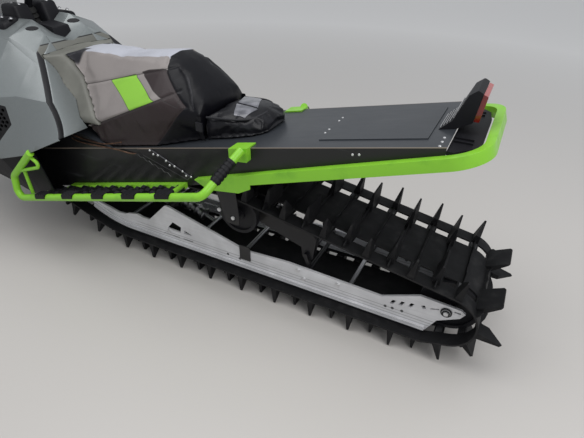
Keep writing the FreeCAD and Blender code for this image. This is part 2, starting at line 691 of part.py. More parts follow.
# The front ends are cut to a slope, higher at the front
nose = side_plate(
    ((-40.0, -1.0), (1.0, -1.0), (1.0, BUMPER_HEIGHT)), -2 * BUMPER_Y, 2 * BUMPER_Y)
bumper = bumper.cut(nose)
bumper.rotate(V(0, 0, 0), V(0, 1, 0), BUMPER_SLOPE)
bumper.translate(V(BUMPER_FOOT[0], 0, BUMPER_FOOT[1]))
gusset_out = BUMPER_Y + BUMPER_WIDTH
gusset = side_plate(GUSSET_OUTLINE, gusset_out - GUSSET, gusset_out)
parts["rear_bumper"] = joined([bumper, gusset, mirrored(gusset)])

# The cap behind the tunnel: (station, distance from the centre plane), and the flap below it
CAP_TOP = 764.0
CAP_THICK = 10.0
CAP_PLAN = ((TUNNEL_REAR[0] - SEAT_GAP, HALF_TUNNEL), (98.0, HALF_TUNNEL), (50.0, 150.0), (40.0, 84.0))
CAP_RIBS = (105.0, 130.0)
FLAP = ((50.0, CAP_TOP - 1), (62.0, CAP_TOP - 1), (80.0, 704.0), (60.0, 704.0), (46.0, 735.0))
FLAP_HALF = 146.0
plan = [V(x, y, CAP_TOP - CAP_THICK) for x, y in CAP_PLAN]
plan += [V(p.x, -p.y, p.z) for p in reversed(plan)]
cap = Part.Face(Part.makePolygon(plan + [plan[0]])).extrude(V(0, 0, CAP_THICK))
flap = side_plate(FLAP, -FLAP_HALF, FLAP_HALF)
ribs = []
for y in CAP_RIBS:
    rib = box(62.0, 110.0, y - 3.0, y + 3.0, CAP_TOP - 1, CAP_TOP + 5.0)
    ribs += [rib, mirrored(rib)]
parts["snow_flap"] = joined([cap, flap] + ribs)

LIGHT_HALF = 65.0
LENS_HALF = 61.0
TAIL_LIGHT = (
    (163.0, tunnel_height(163.0) + SEAT_GAP), (132.0, 795.0, 10.0), (119.0, 831.0, 10.0), (104.0, 868.0, 6.0),
    (84.0, 884.0, 6.0), (70.0, 877.0), (80.0, 797.0), (TUNNEL_REAR[0] + 2.0, tunnel_height(118.0) + SEAT_GAP))
TAIL_LENS = ((69.6, 874.0), (57.0, 870.0, 3.0), (65.0, 800.0, 3.0), (79.2, 800.0))
LOUVRES = (800.0, 816.0)
LOUVRE_HEIGHT = 6.0
LOUVRE_DEPTH = 12.0
light = side_plate(TAIL_LIGHT, -LIGHT_HALF, LIGHT_HALF)
for z in LOUVRES:
    x = 132.0 - (z - 795.0) * 0.36
    light = light.cut(box(x - LOUVRE_DEPTH, x + 20.0, 12.0 - LIGHT_HALF, LIGHT_HALF - 12.0, z, z + LOUVRE_HEIGHT))
parts["tail_light"] = light
parts["tail_lens"] = side_plate(TAIL_LENS, -LENS_HALF, LENS_HALF)

# Rear of the seat: distance behind its split, foot's inset from the tunnel's side, waist height,
# waist inset, top edge half width, top edge height, crown

SEAT_TAIL = (
    (175.0, 66.0, 690.0, 60.0, 108.0, 731.0, 737.0),
    (145.0, 58.0, 705.0, 50.0, 106.0, 757.0, 766.0),
    (111.0, 44.0, 715.0, 34.0, 100.0, 787.0, 797.0),
    (56.0, 22.0, 725.0, 14.0, 90.0, 829.0, 838.0),
    (0.0, 5.0, 718.0, 1.0, 73.0, 857.0, 863.0))
# Its front and the tank cover: station, foot height, then as above
SEAT_NOSE = (
    (TUNNEL_BEND[0], TUNNEL_BEND[1], 5.0, 622.0, 0.5, 64.0, 838.0, 842.0),
    (TUNNEL_CROWN[0], TUNNEL_CROWN[1], 8.0, 612.0, 0.5, 64.0, 826.0, 831.0),
    (1545.0, 546.5, 8.0, 700.0, 14.0, 88.0, 822.0, 828.0),
    (1610.0, 548.2, 8.0, 730.0, 18.0, 168.0, 815.0, 824.0),
    (1665.0, 549.8, 8.0, 740.0, 18.0, 178.0, 828.0, 834.0))
SEAT = tuple((SEAT_SPLIT - row[0], tunnel_height(SEAT_SPLIT - row[0])) + row[1:] for row in SEAT_TAIL) + SEAT_NOSE


def seat_body(grow):
    """The seat and tank cover in one, seated on the tunnel and grown by a margin."""
    sections = []
    for x, foot, foot_in, waist, waist_in, top_y, top_z, crown in SEAT:
        left = [(HALF_TUNNEL - foot_in + grow, foot + SEAT_GAP), (HALF_TUNNEL - waist_in + grow, waist),
                (top_y + grow, top_z + grow), (0.0, crown + grow)]
        right = [(-y, z) for y, z in reversed(left[:-1])]
        sections.append([(x, y, z) for y, z in left + right])
    return ruled_body(sections)


def behind(low, high, back):
    """Everything behind the sloping plane through two (station, height) points, moved back."""
    slope = (high[0] - low[0]) / (high[1] - low[1])
    foot = 0.0
    head = 1300.0
    ends = [(low[0] + slope * (z - low[1]) - back, z) for z in (foot, head)]
    return side_plate([(0.0, foot), ends[0], ends[1], (0.0, head)], -700.0, 700.0)


whole_seat = seat_body(0.0)
split = behind((SEAT_SPLIT, 0.0), (SEAT_SPLIT, 1.0), 0.0)
parts["seat_rear"] = whole_seat.common(split)
split_gap = behind((SEAT_SPLIT, 0.0), (SEAT_SPLIT, 1.0), -SEAT_GAP)
knee_gap = behind(KNEE_LOW, KNEE_HIGH, SEAT_GAP)
under_console = box(0.0, FAR_X, -FAR_Y, FAR_Y, 0.0, CONSOLE_FOOT)
seat_way = behind(SEAT_LOW, SEAT_HIGH, 0.0).fuse(under_console)
parts["seat_front"] = whole_seat.cut(split_gap).common(seat_way).common(knee_gap)
console_way = behind(SEAT_LOW, SEAT_HIGH, -SEAT_GAP).fuse(
    box(0.0, FAR_X, -FAR_Y, FAR_Y, 0.0, CONSOLE_FOOT + SEAT_GAP))
parts["console"] = whole_seat.cut(console_way).common(knee_gap)

# A soft bag behind the seat: distance from the seat, foot half width, top half width, then the
# heights of the top edge and the crown above the tunnel
BAG = (
    (225.0, 62.0, 50.0, 22.0, 28.0),
    (211.0, 86.0, 72.0, 44.0, 52.0),
    (180.0, 108.0, 92.0, 56.0, 66.0),
    (125.0, 124.0, 106.0, 68.0, 80.0),
    (65.0, 130.0, 112.0, 78.0, 90.0),
    (SEAT_GAP, 132.0, 116.0, 84.0, 96.0))
BAG_SHOULDER = 0.6      # where its sides turn in, as a share of their height
bag_sections = []
for distance, foot_y, top_y, edge, crown in BAG:
    x = SEAT[0][0] - distance
    base = tunnel_height(x)
    left = [(foot_y, base + SEAT_GAP), (foot_y, base + BAG_SHOULDER * edge), (top_y, base + edge)]
    right = [(-y, z) for y, z in reversed(left)]
    bag_sections.append([(x, y, z) for y, z in left + [(0.0, base + crown)] + right])
parts["seat_bag"] = ruled_body(bag_sections)

# Body: sections through the hood, side panels and belly pan.
# station, crown, ridge (y, z), shoulder (y, z), side (y, z), hem (y, z), chine (y, z), keel (y, z)

BODY = (
    (1400.0, 750.0, (80.0, 760.0), (158.0, 735.0), (240.0, 670.0), (330.0, 588.0), (296.0, 575.0), (280.0, 565.0)),
    (1630.0, 838.0, (110.0, 850.0), (182.0, 826.0), (310.0, 700.0), (362.0, 482.0), (322.0, 466.0), (285.0, 260.0)),
    (1740.0, 854.0, (86.0, 920.0), (198.0, 874.0), (358.0, 690.0), (385.0, 455.0), (332.0, 438.0), (270.0, 226.0)),
    (1850.0, 880.0, (95.0, 920.0), (206.0, 880.0), (385.0, 680.0), (396.0, 438.0), (335.0, 425.0), (250.0, 200.0)),
    (2060.0, 902.0, (105.0, 912.0), (206.0, 870.0), (398.0, 660.0), (375.0, 450.0), (315.0, 435.0), (215.0, 200.0)),
    (2235.0, 868.0, (95.0, 880.0), (192.0, 838.0), (372.0, 645.0), (340.0, 490.0), (270.0, 470.0), (198.0, 205.0)),
    (2290.0, 856.0, (92.0, 868.0), (186.0, 828.0), (358.0, 642.0), (325.0, 497.0), (125.0, 480.0), (125.0, 240.0)),
    (2650.0, 722.0, (64.0, 734.0), (128.0, 705.0), (210.0, 610.0), (180.0, 520.0), (125.0, 505.0), (125.0, 310.0)),
    (2800.0, 634.0, (40.0, 640.0), (80.0, 625.0), (110.0, 580.0), (100.0, 530.0), (88.0, 515.0), (70.0, 420.0)))
HULL_Y = BODY[-2][7][0]
BELLY_REAR = 1625.0


def body_section(row, inset):
    """The closed section of the body at one station, drawn in by the wall."""
    x, crown, ridge, shoulder, side, hem, chine, keel = row
    left = [(0.0, crown - inset), (ridge[0], ridge[1] - 1.1 * inset),
            (shoulder[0] - 0.6 * inset, shoulder[1] - inset), (side[0] - inset, side[1]),
            (hem[0] - inset, hem[1]), (chine[0] - inset, chine[1] + 0.3 * inset),
            (keel[0] - 0.6 * inset, keel[1] + inset)]
    right = [(-y, z) for y, z in reversed(left[1:])]
    return [(x, y, z) for y, z in left + right]


def body_solid(inset):
    """The whole body, or with a wall's inset the room inside it, open behind."""
    rows = list(BODY)
    if inset:
        rows[0] = (rows[0][0] - 1.0,) + rows[0][1:]
        rows[-1] = (rows[-1][0] - inset,) + rows[-1][1:]
    return ruled_body([body_section(row, inset) for row in rows])


def below_hem(edge, margin):
    """The side view below the hem, or above it when the edge is high."""
    line = [(row[0], row[5][1]) for row in BODY]
    line[0] = (line[0][0] - margin, line[0][1])
    line[-1] = (line[-1][0] + margin, line[-1][1])
    return side_plate(line + [(line[-1][0], edge), (line[0][0], edge)], -FAR_Y, FAR_Y)


whole_body = body_solid(0.0)
tunnel_way = box(
    BODY[0][0] - 10.0, TUNNEL_FRONT[0] + SEAT_GAP, -HALF_TUNNEL - SEAT_GAP, HALF_TUNNEL + SEAT_GAP, 150.0, 600.0)
shell = whole_body.cut(body_solid(WALL)).cut([tunnel_way, behind(KNEE_LOW, KNEE_HIGH, 0.0)])
belly = shell.common(below_hem(0.0, WALL)).cut(box(0.0, BELLY_REAR, -FAR_Y, FAR_Y, 0.0, FAR_Z))
upper_shell = shell.common(below_hem(FAR_Z, WALL))
hood = upper_shell.common(box(0.0, FAR_X, -HOOD_SPLIT, HOOD_SPLIT, 0.0, FAR_Z))
panel = upper_shell.common(box(0.0, FAR_X, HOOD_SPLIT, FAR_Y, 0.0, FAR_Z))

# Knee panels close the body's sloping rear end, with recessed dark trims along their outer edges
knee_slab = knee_gap.cut(behind(KNEE_LOW, KNEE_HIGH, SEAT_GAP + WALL))
knee_slab = knee_slab.cut([tunnel_way, seat_body(SEAT_GAP)]).common(whole_body)
knee_top = knee_slab.common(box(0.0, FAR_X, -KNEE_SPLIT, KNEE_SPLIT, CONSOLE_FOOT, FAR_Z))
knee_slab = knee_slab.common(box(0.0, FAR_X, KNEE_SPLIT + SEAT_GAP, FAR_Y, KNEE_FOOT, FAR_Z))
inner_body = whole_body.copy()
inner_body.translate(V(0, -TRIM_WIDTH, -TRIM_WIDTH / 3))
inner_grown = whole_body.copy()
inner_grown.translate(V(0, 2 * SEAT_GAP - TRIM_WIDTH, -TRIM_WIDTH / 3))
parts["fin_left"] = knee_slab.common(inner_body)
parts["fin_right"] = mirrored(parts["fin_left"])
trim = knee_slab.cut(inner_grown)
trim = trim.cut(behind(KNEE_LOW, KNEE_HIGH, SEAT_GAP + WALL / 2))
parts["knee_trims"] = Part.makeCompound([trim, mirrored(trim)] + knee_top.Solids)

# Lamps: the part of the nose behind a front outline of (y, height) points
LAMP = ((52.0, 655.0), (150.0, 690.0), (166.0, 640.0), (60.0, 612.0))
LAMP_X = 2560.0
lamp_corners = [V(LAMP_X, y, z) for y, z in LAMP]
lamp_prism = Part.Face(Part.makePolygon(lamp_corners + [lamp_corners[0]])).extrude(V(FAR_X - LAMP_X, 0, 0))
parts["headlights"] = both_sides(hood.common(lamp_prism))
hood = hood.cut([lamp_prism, mirrored(lamp_prism)])

# Intakes: sloping slots in the hood ahead of the rider, (station, y) of the rear inner corner
INTAKES = ((2080.0, 60.0), (2130.0, 60.0), (2180.0, 58.0))
INTAKE_LENGTH = 22.0
INTAKE_WIDTH = 70.0
for x, y in INTAKES:
    slot = box(x, x + INTAKE_LENGTH, y, y + INTAKE_WIDTH, 700.0, FAR_Z)
    hood = hood.cut([slot, mirrored(slot)])

# The steering post's way through the hood
lean = math.radians(POST_TILT)
post_axis = V(-math.sin(lean), 0, math.cos(lean))
post_foot = V(POST_FOOT[0], 0, POST_FOOT[1])
post_head = post_foot + post_axis * POST_LENGTH
hood = hood.cut(Part.makeCylinder(POST_D / 2 + 2 * RUN_GAP, POST_LENGTH, post_foot, post_axis))
parts["hood"] = hood


def inside(outline, point, margin):
    """Whether a point lies inside a convex outline that runs clockwise, by at least the margin."""
    for i, start in enumerate(outline):
        end = outline[(i + 1) % len(outline)]
        length = math.dist(start, end)
        across = (end[0] - start[0]) * (point[1] - start[1]) - (end[1] - start[1]) * (point[0] - start[0])
        if -across / length < margin:
            return False
    return True


# Side vents: a honeycomb grille let into each side panel
VENT = ((1664.0, 596.0), (1676.0, 662.0), (1795.0, 690.0), (1850.0, 610.0), (1740.0, 515.0))
VENT_FRAME = 4.0
HEX_SHARE = 0.44        # radius of a cell as a share of the pitch
row_pitch = HEX_PITCH * math.sqrt(3) / 2
vent_low = (min(x for x, z in VENT), min(z for x, z in VENT))
vent_high = (max(x for x, z in VENT), max(z for x, z in VENT))
vent_prism = side_plate(VENT, HALF_TUNNEL + WALL, FAR_Y)
grille = panel.common(vent_prism)
cells = []
for row in range(int((vent_high[1] - vent_low[1]) / row_pitch) + 1):
    for column in range(int((vent_high[0] - vent_low[0]) / HEX_PITCH) + 1):
        x = vent_low[0] + HEX_PITCH * (column + 0.5 * (row % 2))
        z = vent_low[1] + row_pitch * row
        turns = [math.radians(60 * k + 30) for k in range(6)]
        cell = [(x + HEX_SHARE * HEX_PITCH * math.cos(a), z + HEX_SHARE * HEX_PITCH * math.sin(a)) for a in turns]
        if all(inside(VENT, point, VENT_FRAME) for point in cell):
            cells.append(side_plate(cell, HALF_TUNNEL + WALL, FAR_Y))
parts["side_vents"] = both_sides(grille.cut(cells))
panel = panel.cut(vent_prism)
parts["side_panel_left"] = panel
parts["side_panel_right"] = mirrored(panel)

# The tie rods' way through the belly pan
rod_z = ARM_Z + STEER_ARM / 2 + SEAT_GAP + TIE_D / 2
TIE_SWING = (26.0, 34.0)    # room behind and ahead of the rod at rest
TIE_ROOM = 20.0
tie_x = SPINDLE_X - ARM_REACH
tie_way = box(tie_x - TIE_SWING[0], tie_x + TIE_SWING[1], -FAR_Y / 2, FAR_Y / 2, rod_z - TIE_ROOM, rod_z + TIE_ROOM)
parts["belly_pan"] = belly.cut(tie_way)

# Running boards

TOE_HOOP = ((1590.0, 356.0, 500.0), (1742.0, 362.0, 368.0))
HOOP_X = 1742.0
HOOP_BEND = 34.0
RISER_X = 765.0
BRACKET = (694.0, 765.0)
BRACKET_REACH = 20.0
BRACKET_LIP = 5.0
BRACKET_LAP = 34.0
STRIP_ENDS = (970.0, 1610.0)
BRACE_D = 14.0
# Corners of the thin brace behind the hoop, and of the bar below it
BRACE = ((1612.0, 354.0, 486.0), (1545.0, 356.0, 452.0), (1722.0, 362.0, 392.0))
STAY = ((1668.0, 356.0, 404.0), (1672.0, 352.0, 300.0))

riser_top = (712.0, HALF_TUNNEL + BRACKET_REACH + 4.0, 648.0)
tube = bent_bar(
    list(TOE_HOOP) + [(HOOP_X, BOARD_TUBE_Y, board_height(HOOP_X)), (RISER_X, BOARD_TUBE_Y, board_height(RISER_X)),
                      riser_top], BOARD_TUBE_D, HOOP_BEND)
bracket = side_plate(
    ((BRACKET[0], 606.0, 8.0), (BRACKET[0], tunnel_height(BRACKET[0]) + BRACKET_LIP),
     (BRACKET[1], tunnel_height(BRACKET[1]) + BRACKET_LIP), (BRACKET[1], 598.0, 8.0)),
    HALF_TUNNEL + SEAT_GAP, HALF_TUNNEL + BRACKET_REACH)
lip = slope_plate(*BRACKET, SEAT_GAP, BRACKET_LIP, HALF_TUNNEL - BRACKET_LAP, HALF_TUNNEL + BRACKET_REACH / 2)
strip_rear, strip_front = STRIP_ENDS
strip_out = HALF_TUNNEL + BOARD_STRIP
strip = side_plate(
    ((strip_front, strip_height(strip_front)), (strip_front, strip_height(strip_front) - STRIP_HEIGHT),
     (strip_rear, strip_height(strip_rear) - STRIP_HEIGHT), (strip_rear, strip_height(strip_rear))),
    HALF_TUNNEL + SEAT_GAP, strip_out)
front_stay = rod(
    (HOOP_X - 60.0, BOARD_TUBE_Y, board_height(HOOP_X - 60.0)),
    (strip_front - 12.0, strip_out - 10.0, strip_height(strip_front) - STRIP_HEIGHT / 2), 18.0)
rear_stay = rod(
    (strip_rear - 60.0, BOARD_TUBE_Y, board_height(strip_rear - 60.0)),
    (strip_rear + 12.0, strip_out - 10.0, strip_height(strip_rear) - STRIP_HEIGHT / 2), 18.0)
brace = bent_bar(list(BRACE), BRACE_D, BRACE_D)
board = joined([tube, bracket, lip, strip, front_stay, rear_stay, brace, rod(*STAY, BRACE_D)])
board = board.cut(whole_body)
parts["running_board_left"] = board
parts["running_board_right"] = mirrored(board)

# Treads: toothed rungs between strip and tube, toothed grips on the tube, and a ribbed sleeve on
# the riser
GRIPS = (1570.0, 1400.0, 1228.0, 1071.0, 917.0)
GRIP_LONG = 60.0
GRIP_SIDE = 16.0
GRIP_DEPTH = 15.0
FIRST_RUNG = 1577.0
RUNG_LAP = 1.0          # of a rung into the strip, before it is cut to seat there
RUNG_TEETH = 5
GRIP_TEETH = 4
SLEEVE_SPAN = (0.3, 0.76)   # along the riser
SLEEVE_RIBS = 6
SLEEVE_WALL = (1.5, 4.0)    # at the grooves and at the ribs


def saw(start, end, depth, teeth):
    """Points of a toothed strip from start to end in the plane of two axes, closed below."""
    points = [(start[0], start[1] - depth)]
    for i in range(2 * teeth + 1):
        share = i / (2 * teeth)
        level = start[1] + share * (end[1] - start[1]) + (TOOTH if i % 2 else 0.0)
        points.append((start[0] + share * (end[0] - start[0]), level))
    points.append((end[0], end[1] - depth))
    return points


treads = []
for i in range(RUNG_COUNT):
    x = FIRST_RUNG - RUNG_PITCH * i
    inner_end = (strip_out - RUNG_LAP, strip_height(x) - TOOTH)
    outer_end = (BOARD_TUBE_Y, board_height(x) + BOARD_TUBE_D / 2 + 1.0)
    corners = [V(x - RUNG_WIDTH / 2, y, z) for y, z in saw(inner_end, outer_end, RUNG_WIDTH, RUNG_TEETH)]
    treads.append(Part.Face(Part.makePolygon(corners + [corners[0]])).extrude(V(RUNG_WIDTH, 0, 0)))
for x in GRIPS:
    ends = [(e, board_height(e) + BOARD_TUBE_D / 2 + 2.0) for e in (x - GRIP_LONG / 2, x + GRIP_LONG / 2)]
    treads.append(side_plate(
        saw(*ends, GRIP_DEPTH, GRIP_TEETH), BOARD_TUBE_Y - GRIP_SIDE, BOARD_TUBE_Y + GRIP_SIDE))
riser_foot = V(RISER_X, BOARD_TUBE_Y, board_height(RISER_X))
riser = V(*riser_top) - riser_foot
sleeve_from = riser.Length * SLEEVE_SPAN[0]
sleeve_to = riser.Length * SLEEVE_SPAN[1]
profile = [V(0, 0, sleeve_from)]
for i in range(SLEEVE_RIBS):
    for share, wall in ((0.0, 0), (0.35, 0), (0.35, 1), (1.0, 1)):
        at = sleeve_from + (sleeve_to - sleeve_from) * (i + share) / SLEEVE_RIBS
        profile.append(V(BOARD_TUBE_D / 2 + SLEEVE_WALL[wall], 0, at))
profile.append(V(0, 0, sleeve_to))
sleeve = Part.Face(Part.makePolygon(profile + [profile[0]])).revolve(V(0, 0, 0), V(0, 0, 1), 360)
sleeve.Placement = FreeCAD.Placement(riser_foot, FreeCAD.Rotation(V(0, 0, 1), riser))
treads.append(sleeve)
# Each tread is cut round the tube and the strip with the seating gap
strip_room = side_plate(
    ((strip_front + 1, strip_height(strip_front + 1) + SEAT_GAP),
     (strip_front + 1, strip_height(strip_front + 1) - STRIP_HEIGHT - SEAT_GAP),
     (strip_rear - 1, strip_height(strip_rear - 1) - STRIP_HEIGHT - SEAT_GAP),
     (strip_rear - 1, strip_height(strip_rear - 1) + SEAT_GAP)),
    HALF_TUNNEL, strip_out + SEAT_GAP)
tube_room = bent_bar(
    [(HOOP_X, BOARD_TUBE_Y, board_height(HOOP_X)), (RISER_X, BOARD_TUBE_Y, board_height(RISER_X)), riser_top],
    BOARD_TUBE_D + 2 * SEAT_GAP, HOOP_BEND)
room = [strip_room, tube_room, front_stay, rear_stay, whole_body]
parts["board_treads"] = both_sides(joined(treads).cut(room))

# Closed machinery: the engine and its clutches as one block
ENGINE_FRONT = 2225.0
ENGINE_HALF = 180.0
parts["engine_block"] = box(
    TUNNEL_FRONT[0] + SEAT_GAP, ENGINE_FRONT, -ENGINE_HALF, ENGINE_HALF, 240.0, 640.0)

# Windshield: a low screen of three flat leaves, each (lower corners, upper corners)
SCREEN_FOOT = ((2235.0, 180.0), (2300.0, 70.0), (2300.0, -70.0), (2235.0, -180.0))
SCREEN_HEAD = ((2075.0, 150.0), (2125.0, 60.0), (2125.0, -60.0), (2075.0, -150.0))
SCREEN_LOW = 820.0
SCREEN_HIGH = 1150.0
SCREEN = 4.0
outer_screen = ruled_body([
    [(x, y, SCREEN_LOW) for x, y in SCREEN_FOOT], [(x, y, SCREEN_HIGH) for x, y in SCREEN_HEAD]])
inner_screen = outer_screen.copy()
inner_screen.translate(V(-SCREEN, 0, 0))
screen = outer_screen.cut([inner_screen, whole_body, box(2000.0, 2320.0, -140.0, 140.0, 800.0, 830.0)])
parts["windshield"] = screen

GAUGE = ((1795.0, 855.0), (1800.0, 905.0, 6.0), (1690.0, 893.0, 10.0), (1672.0, 835.0))
GAUGE_HALF = 42.0
parts["gauge"] = side_plate(GAUGE, -GAUGE_HALF, GAUGE_HALF).cut(whole_body)

# Front suspension and skis

PIVOT_Y = HULL_Y + SEAT_GAP + PIVOT_D / 2
PIVOT_LENGTH = 44.0


def a_arm(stations, inner_z, eye_z, diameter):
    """A two-legged arm from a pair of hull pivots to the eye round the spindle."""
    low = eye_z - EYE_HEIGHT / 2
    bore = Part.makeCylinder(POST_SIZE / 2 + SEAT_GAP, EYE_HEIGHT + 2, V(SPINDLE_X, SPINDLE_Y, low - 1))
    pieces = [Part.makeCylinder(EYE_SIZE / 2, EYE_HEIGHT, V(SPINDLE_X, SPINDLE_Y, low))]
    for x in stations:
        pivot = (x - PIVOT_LENGTH / 2, PIVOT_Y, inner_z), (x + PIVOT_LENGTH / 2, PIVOT_Y, inner_z)
        pieces.append(rod(*pivot, PIVOT_D))
        pieces.append(rod((x, PIVOT_Y, inner_z), (SPINDLE_X, SPINDLE_Y - EYE_SIZE / 4, eye_z), diameter))
    return joined(pieces).cut(bore)


LOWER_PIVOTS = (2330.0, 2600.0)
LOWER_PIVOT_Z = 325.0
UPPER_PIVOTS = (2350.0, 2570.0)
UPPER_PIVOT_Z = 440.0
SHOCK_TIE_Y = 372.0
SHOCK_TIE_D = 18.0
SHOCK_HEAD = (2480.0, 232.0, 512.0)
share = (SHOCK_TIE_Y - PIVOT_Y) / (SPINDLE_Y - EYE_SIZE / 4 - PIVOT_Y)
tie_z = LOWER_PIVOT_Z + share * (LOWER_EYE - LOWER_PIVOT_Z)
tie_ends = [(x + share * (SPINDLE_X - x), SHOCK_TIE_Y, tie_z) for x in LOWER_PIVOTS]
lower_arm = a_arm(LOWER_PIVOTS, LOWER_PIVOT_Z, LOWER_EYE, 25.0)
parts["lower_arms"] = both_sides(joined([lower_arm, rod(*tie_ends, SHOCK_TIE_D)]))
parts["upper_arms"] = both_sides(a_arm(UPPER_PIVOTS, UPPER_PIVOT_Z, UPPER_EYE, 22.0))
ski_shock = shock(SHOCK_HEAD, (SHOCK_HEAD[0] + 4.0, SHOCK_TIE_Y, tie_z), 36.0, 56.0)
parts["ski_shocks"] = both_sides(ski_shock.cut([whole_body, rod(*tie_ends, SHOCK_TIE_D + 2 * SEAT_GAP)]))

# The spindle: post, flared foot, lower collar, top cap and steering arm
SPINDLE_LOW = 50.0
SPINDLE_HEIGHT = 370.0
FOOT_HALF = 24.0
FOOT_TOP = 110.0
COLLAR = 14.0
SKI_BOLT_Z = 72.0
SKI_BOLT_D = 14.0


def at_spindle(radius, height, low, top_radius=None):
    """A round piece of the spindle, straight or tapering to a top radius."""
    base = V(SPINDLE_X, SPINDLE_Y, low)
    if top_radius is None:
        return Part.makeCylinder(radius, height, base)
    return Part.makeCone(radius, top_radius, height, base)


arm_low = ARM_Z - STEER_ARM / 2
tie_pin_base = V(tie_x, SPINDLE_Y, arm_low)
steer_arm = box(tie_x, SPINDLE_X, SPINDLE_Y - 9, SPINDLE_Y + 9, arm_low, arm_low + STEER_ARM)
spindle = joined([
    at_spindle(POST_SIZE / 2, SPINDLE_HEIGHT - 30.0, SPINDLE_LOW + 30.0),
    at_spindle(EYE_SIZE / 2, COLLAR, UPPER_EYE + EYE_HEIGHT / 2 + SEAT_GAP),
    at_spindle(EYE_SIZE / 2, COLLAR, LOWER_EYE - EYE_HEIGHT / 2 - COLLAR - SEAT_GAP),
    at_spindle(FOOT_HALF, 40.0, FOOT_TOP, POST_SIZE / 2),
    box(SPINDLE_X - 40.0, SPINDLE_X + 40.0, SPINDLE_Y - FOOT_HALF, SPINDLE_Y + FOOT_HALF, SPINDLE_LOW, FOOT_TOP),
    steer_arm,
    Part.makeCylinder(TIE_D, STEER_ARM, tie_pin_base),
    Part.makeCylinder(TIE_PIN_D / 2, STEER_ARM + TIE_D + 4.0, tie_pin_base)])
saddle_in = FOOT_HALF + SEAT_GAP
SADDLE_WALL = 20.0
bolt_reach = saddle_in + SADDLE_WALL + 16.0
spindle = spindle.cut(cross_rod(
    SPINDLE_X, SKI_BOLT_Z, SKI_BOLT_D + 2 * SEAT_GAP, SPINDLE_Y - bolt_reach, SPINDLE_Y + bolt_reach))
parts["spindle_left"] = spindle
parts["spindle_right"] = mirrored(spindle)

tie_eye = Part.makeCylinder(TIE_D - 2.0, TIE_D, V(tie_x, SPINDLE_Y, rod_z - TIE_D / 2))
tie_rod = joined([tie_eye, rod((tie_x, SPINDLE_Y, rod_z), (tie_x, TIE_INNER_Y, rod_z), TIE_D - 2)])
tie_rod = tie_rod.cut(Part.makeCylinder(TIE_PIN_D / 2 + SEAT_GAP, 3 * TIE_D, V(tie_x, SPINDLE_Y, rod_z - 1.5 * TIE_D)))
parts["tie_rod_left"] = tie_rod
parts["tie_rod_right"] = mirrored(tie_rod)

# A ski: a blade that turns up at both ends and narrows to its tip, side ribs, a keel with
# a wear bar, saddle plates and a grab loop
SKI_TIP_Z = 160.0
SKI_SOLE = 16.0
SKI_CURVE = 300.0
TIP_HALF = 50.0
SADDLE_HALF = 120.0
SADDLE_TOP = 104.0
LOOP_D = 14.0
LOOP_Y = 36.0
half_ski = SKI_WIDTH / 2
ski_back = SPINDLE_X - SKI_BACK
ski_tip = SPINDLE_X + SKI_FRONT


def ski_side(sole, depth, rear, low, high):
    """A strip of the ski between two sides, with its sole at a height and an even depth."""
    outline = (
        (rear, sole + 44.0), (rear, sole + 24.0, 16.0), (rear + 70.0, sole, 60.0),
        (ski_tip - 330.0, sole, SKI_CURVE), (ski_tip, SKI_TIP_Z - SKI_SOLE + sole),
        (ski_tip - 6.0, SKI_TIP_Z - SKI_SOLE + sole + depth), (ski_tip - 334.0, sole + depth, SKI_CURVE),
        (rear + 76.0, sole + depth, 48.0), (rear + 10.0, sole + 40.0 + depth / 2))
    return side_plate(outline, low, high)


blade = ski_side(SKI_SOLE, SKI_THICK, ski_back, SPINDLE_Y - half_ski, SPINDLE_Y + half_ski)
plan = [(V(ski_back - 10.0, SPINDLE_Y + side * half_ski, 0.0), 0.0) for side in (-1, 1)]
plan += [(V(ski_tip - 180.0, SPINDLE_Y + half_ski, 0.0), 80.0), (V(ski_tip + 4.0, SPINDLE_Y + TIP_HALF, 0.0), 30.0),
         (V(ski_tip + 4.0, SPINDLE_Y - TIP_HALF, 0.0), 30.0), (V(ski_tip - 180.0, SPINDLE_Y - half_ski, 0.0), 80.0)]
blade = blade.common(Part.Face(corner_wire(plan)).extrude(V(0, 0, 2 * SKI_TIP_Z)))
keel = ski_side(
    WEAR_BAR_D / 2, SKI_SOLE, ski_back + 30.0, SPINDLE_Y - KEEL_WIDTH / 2, SPINDLE_Y + KEEL_WIDTH / 2)
keel = keel.common(box(0.0, ski_tip - 120.0, 0.0, FAR_Y, 0.0, FAR_Z))
wear_bar = rod(
    (ski_back + 150.0, SPINDLE_Y, WEAR_BAR_D / 2), (ski_tip - 340.0, SPINDLE_Y, WEAR_BAR_D / 2), WEAR_BAR_D)
RIB = 10.0
ribs = []
for y in (SPINDLE_Y - half_ski + RIB, SPINDLE_Y + half_ski - RIB):
    ribs.append(box(ski_back + 90.0, ski_tip - 350.0, y - RIB / 2, y + RIB / 2, SKI_SOLE + 4.0, SKI_SOLE + 30.0))
saddles = []
for low in (-saddle_in - SADDLE_WALL, saddle_in):
    saddles.append(side_plate(
        ((SPINDLE_X - SADDLE_HALF, SKI_SOLE + 4.0), (SPINDLE_X - 60.0, SADDLE_TOP, 20.0),
         (SPINDLE_X + 60.0, SADDLE_TOP, 20.0), (SPINDLE_X + SADDLE_HALF, SKI_SOLE + 4.0)),
        SPINDLE_Y + low, SPINDLE_Y + low + SADDLE_WALL))
loops = []
for side in (-1, 1):
    y = SPINDLE_Y + side * LOOP_Y
    loops.append(bent_bar([
        (ski_tip - 24.0, y, SKI_TIP_Z - 4.0), (ski_tip - 170.0, y, SKI_TIP_Z + 34.0), (ski_tip - 300.0, y, 40.0)],
        LOOP_D, 40.0))
loops.append(cross_rod(
    ski_tip - 150.0, SKI_TIP_Z + 22.0, LOOP_D, SPINDLE_Y - LOOP_Y, SPINDLE_Y + LOOP_Y))
ski_bolt = cross_rod(SPINDLE_X, SKI_BOLT_Z, SKI_BOLT_D, SPINDLE_Y - bolt_reach, SPINDLE_Y + bolt_reach)
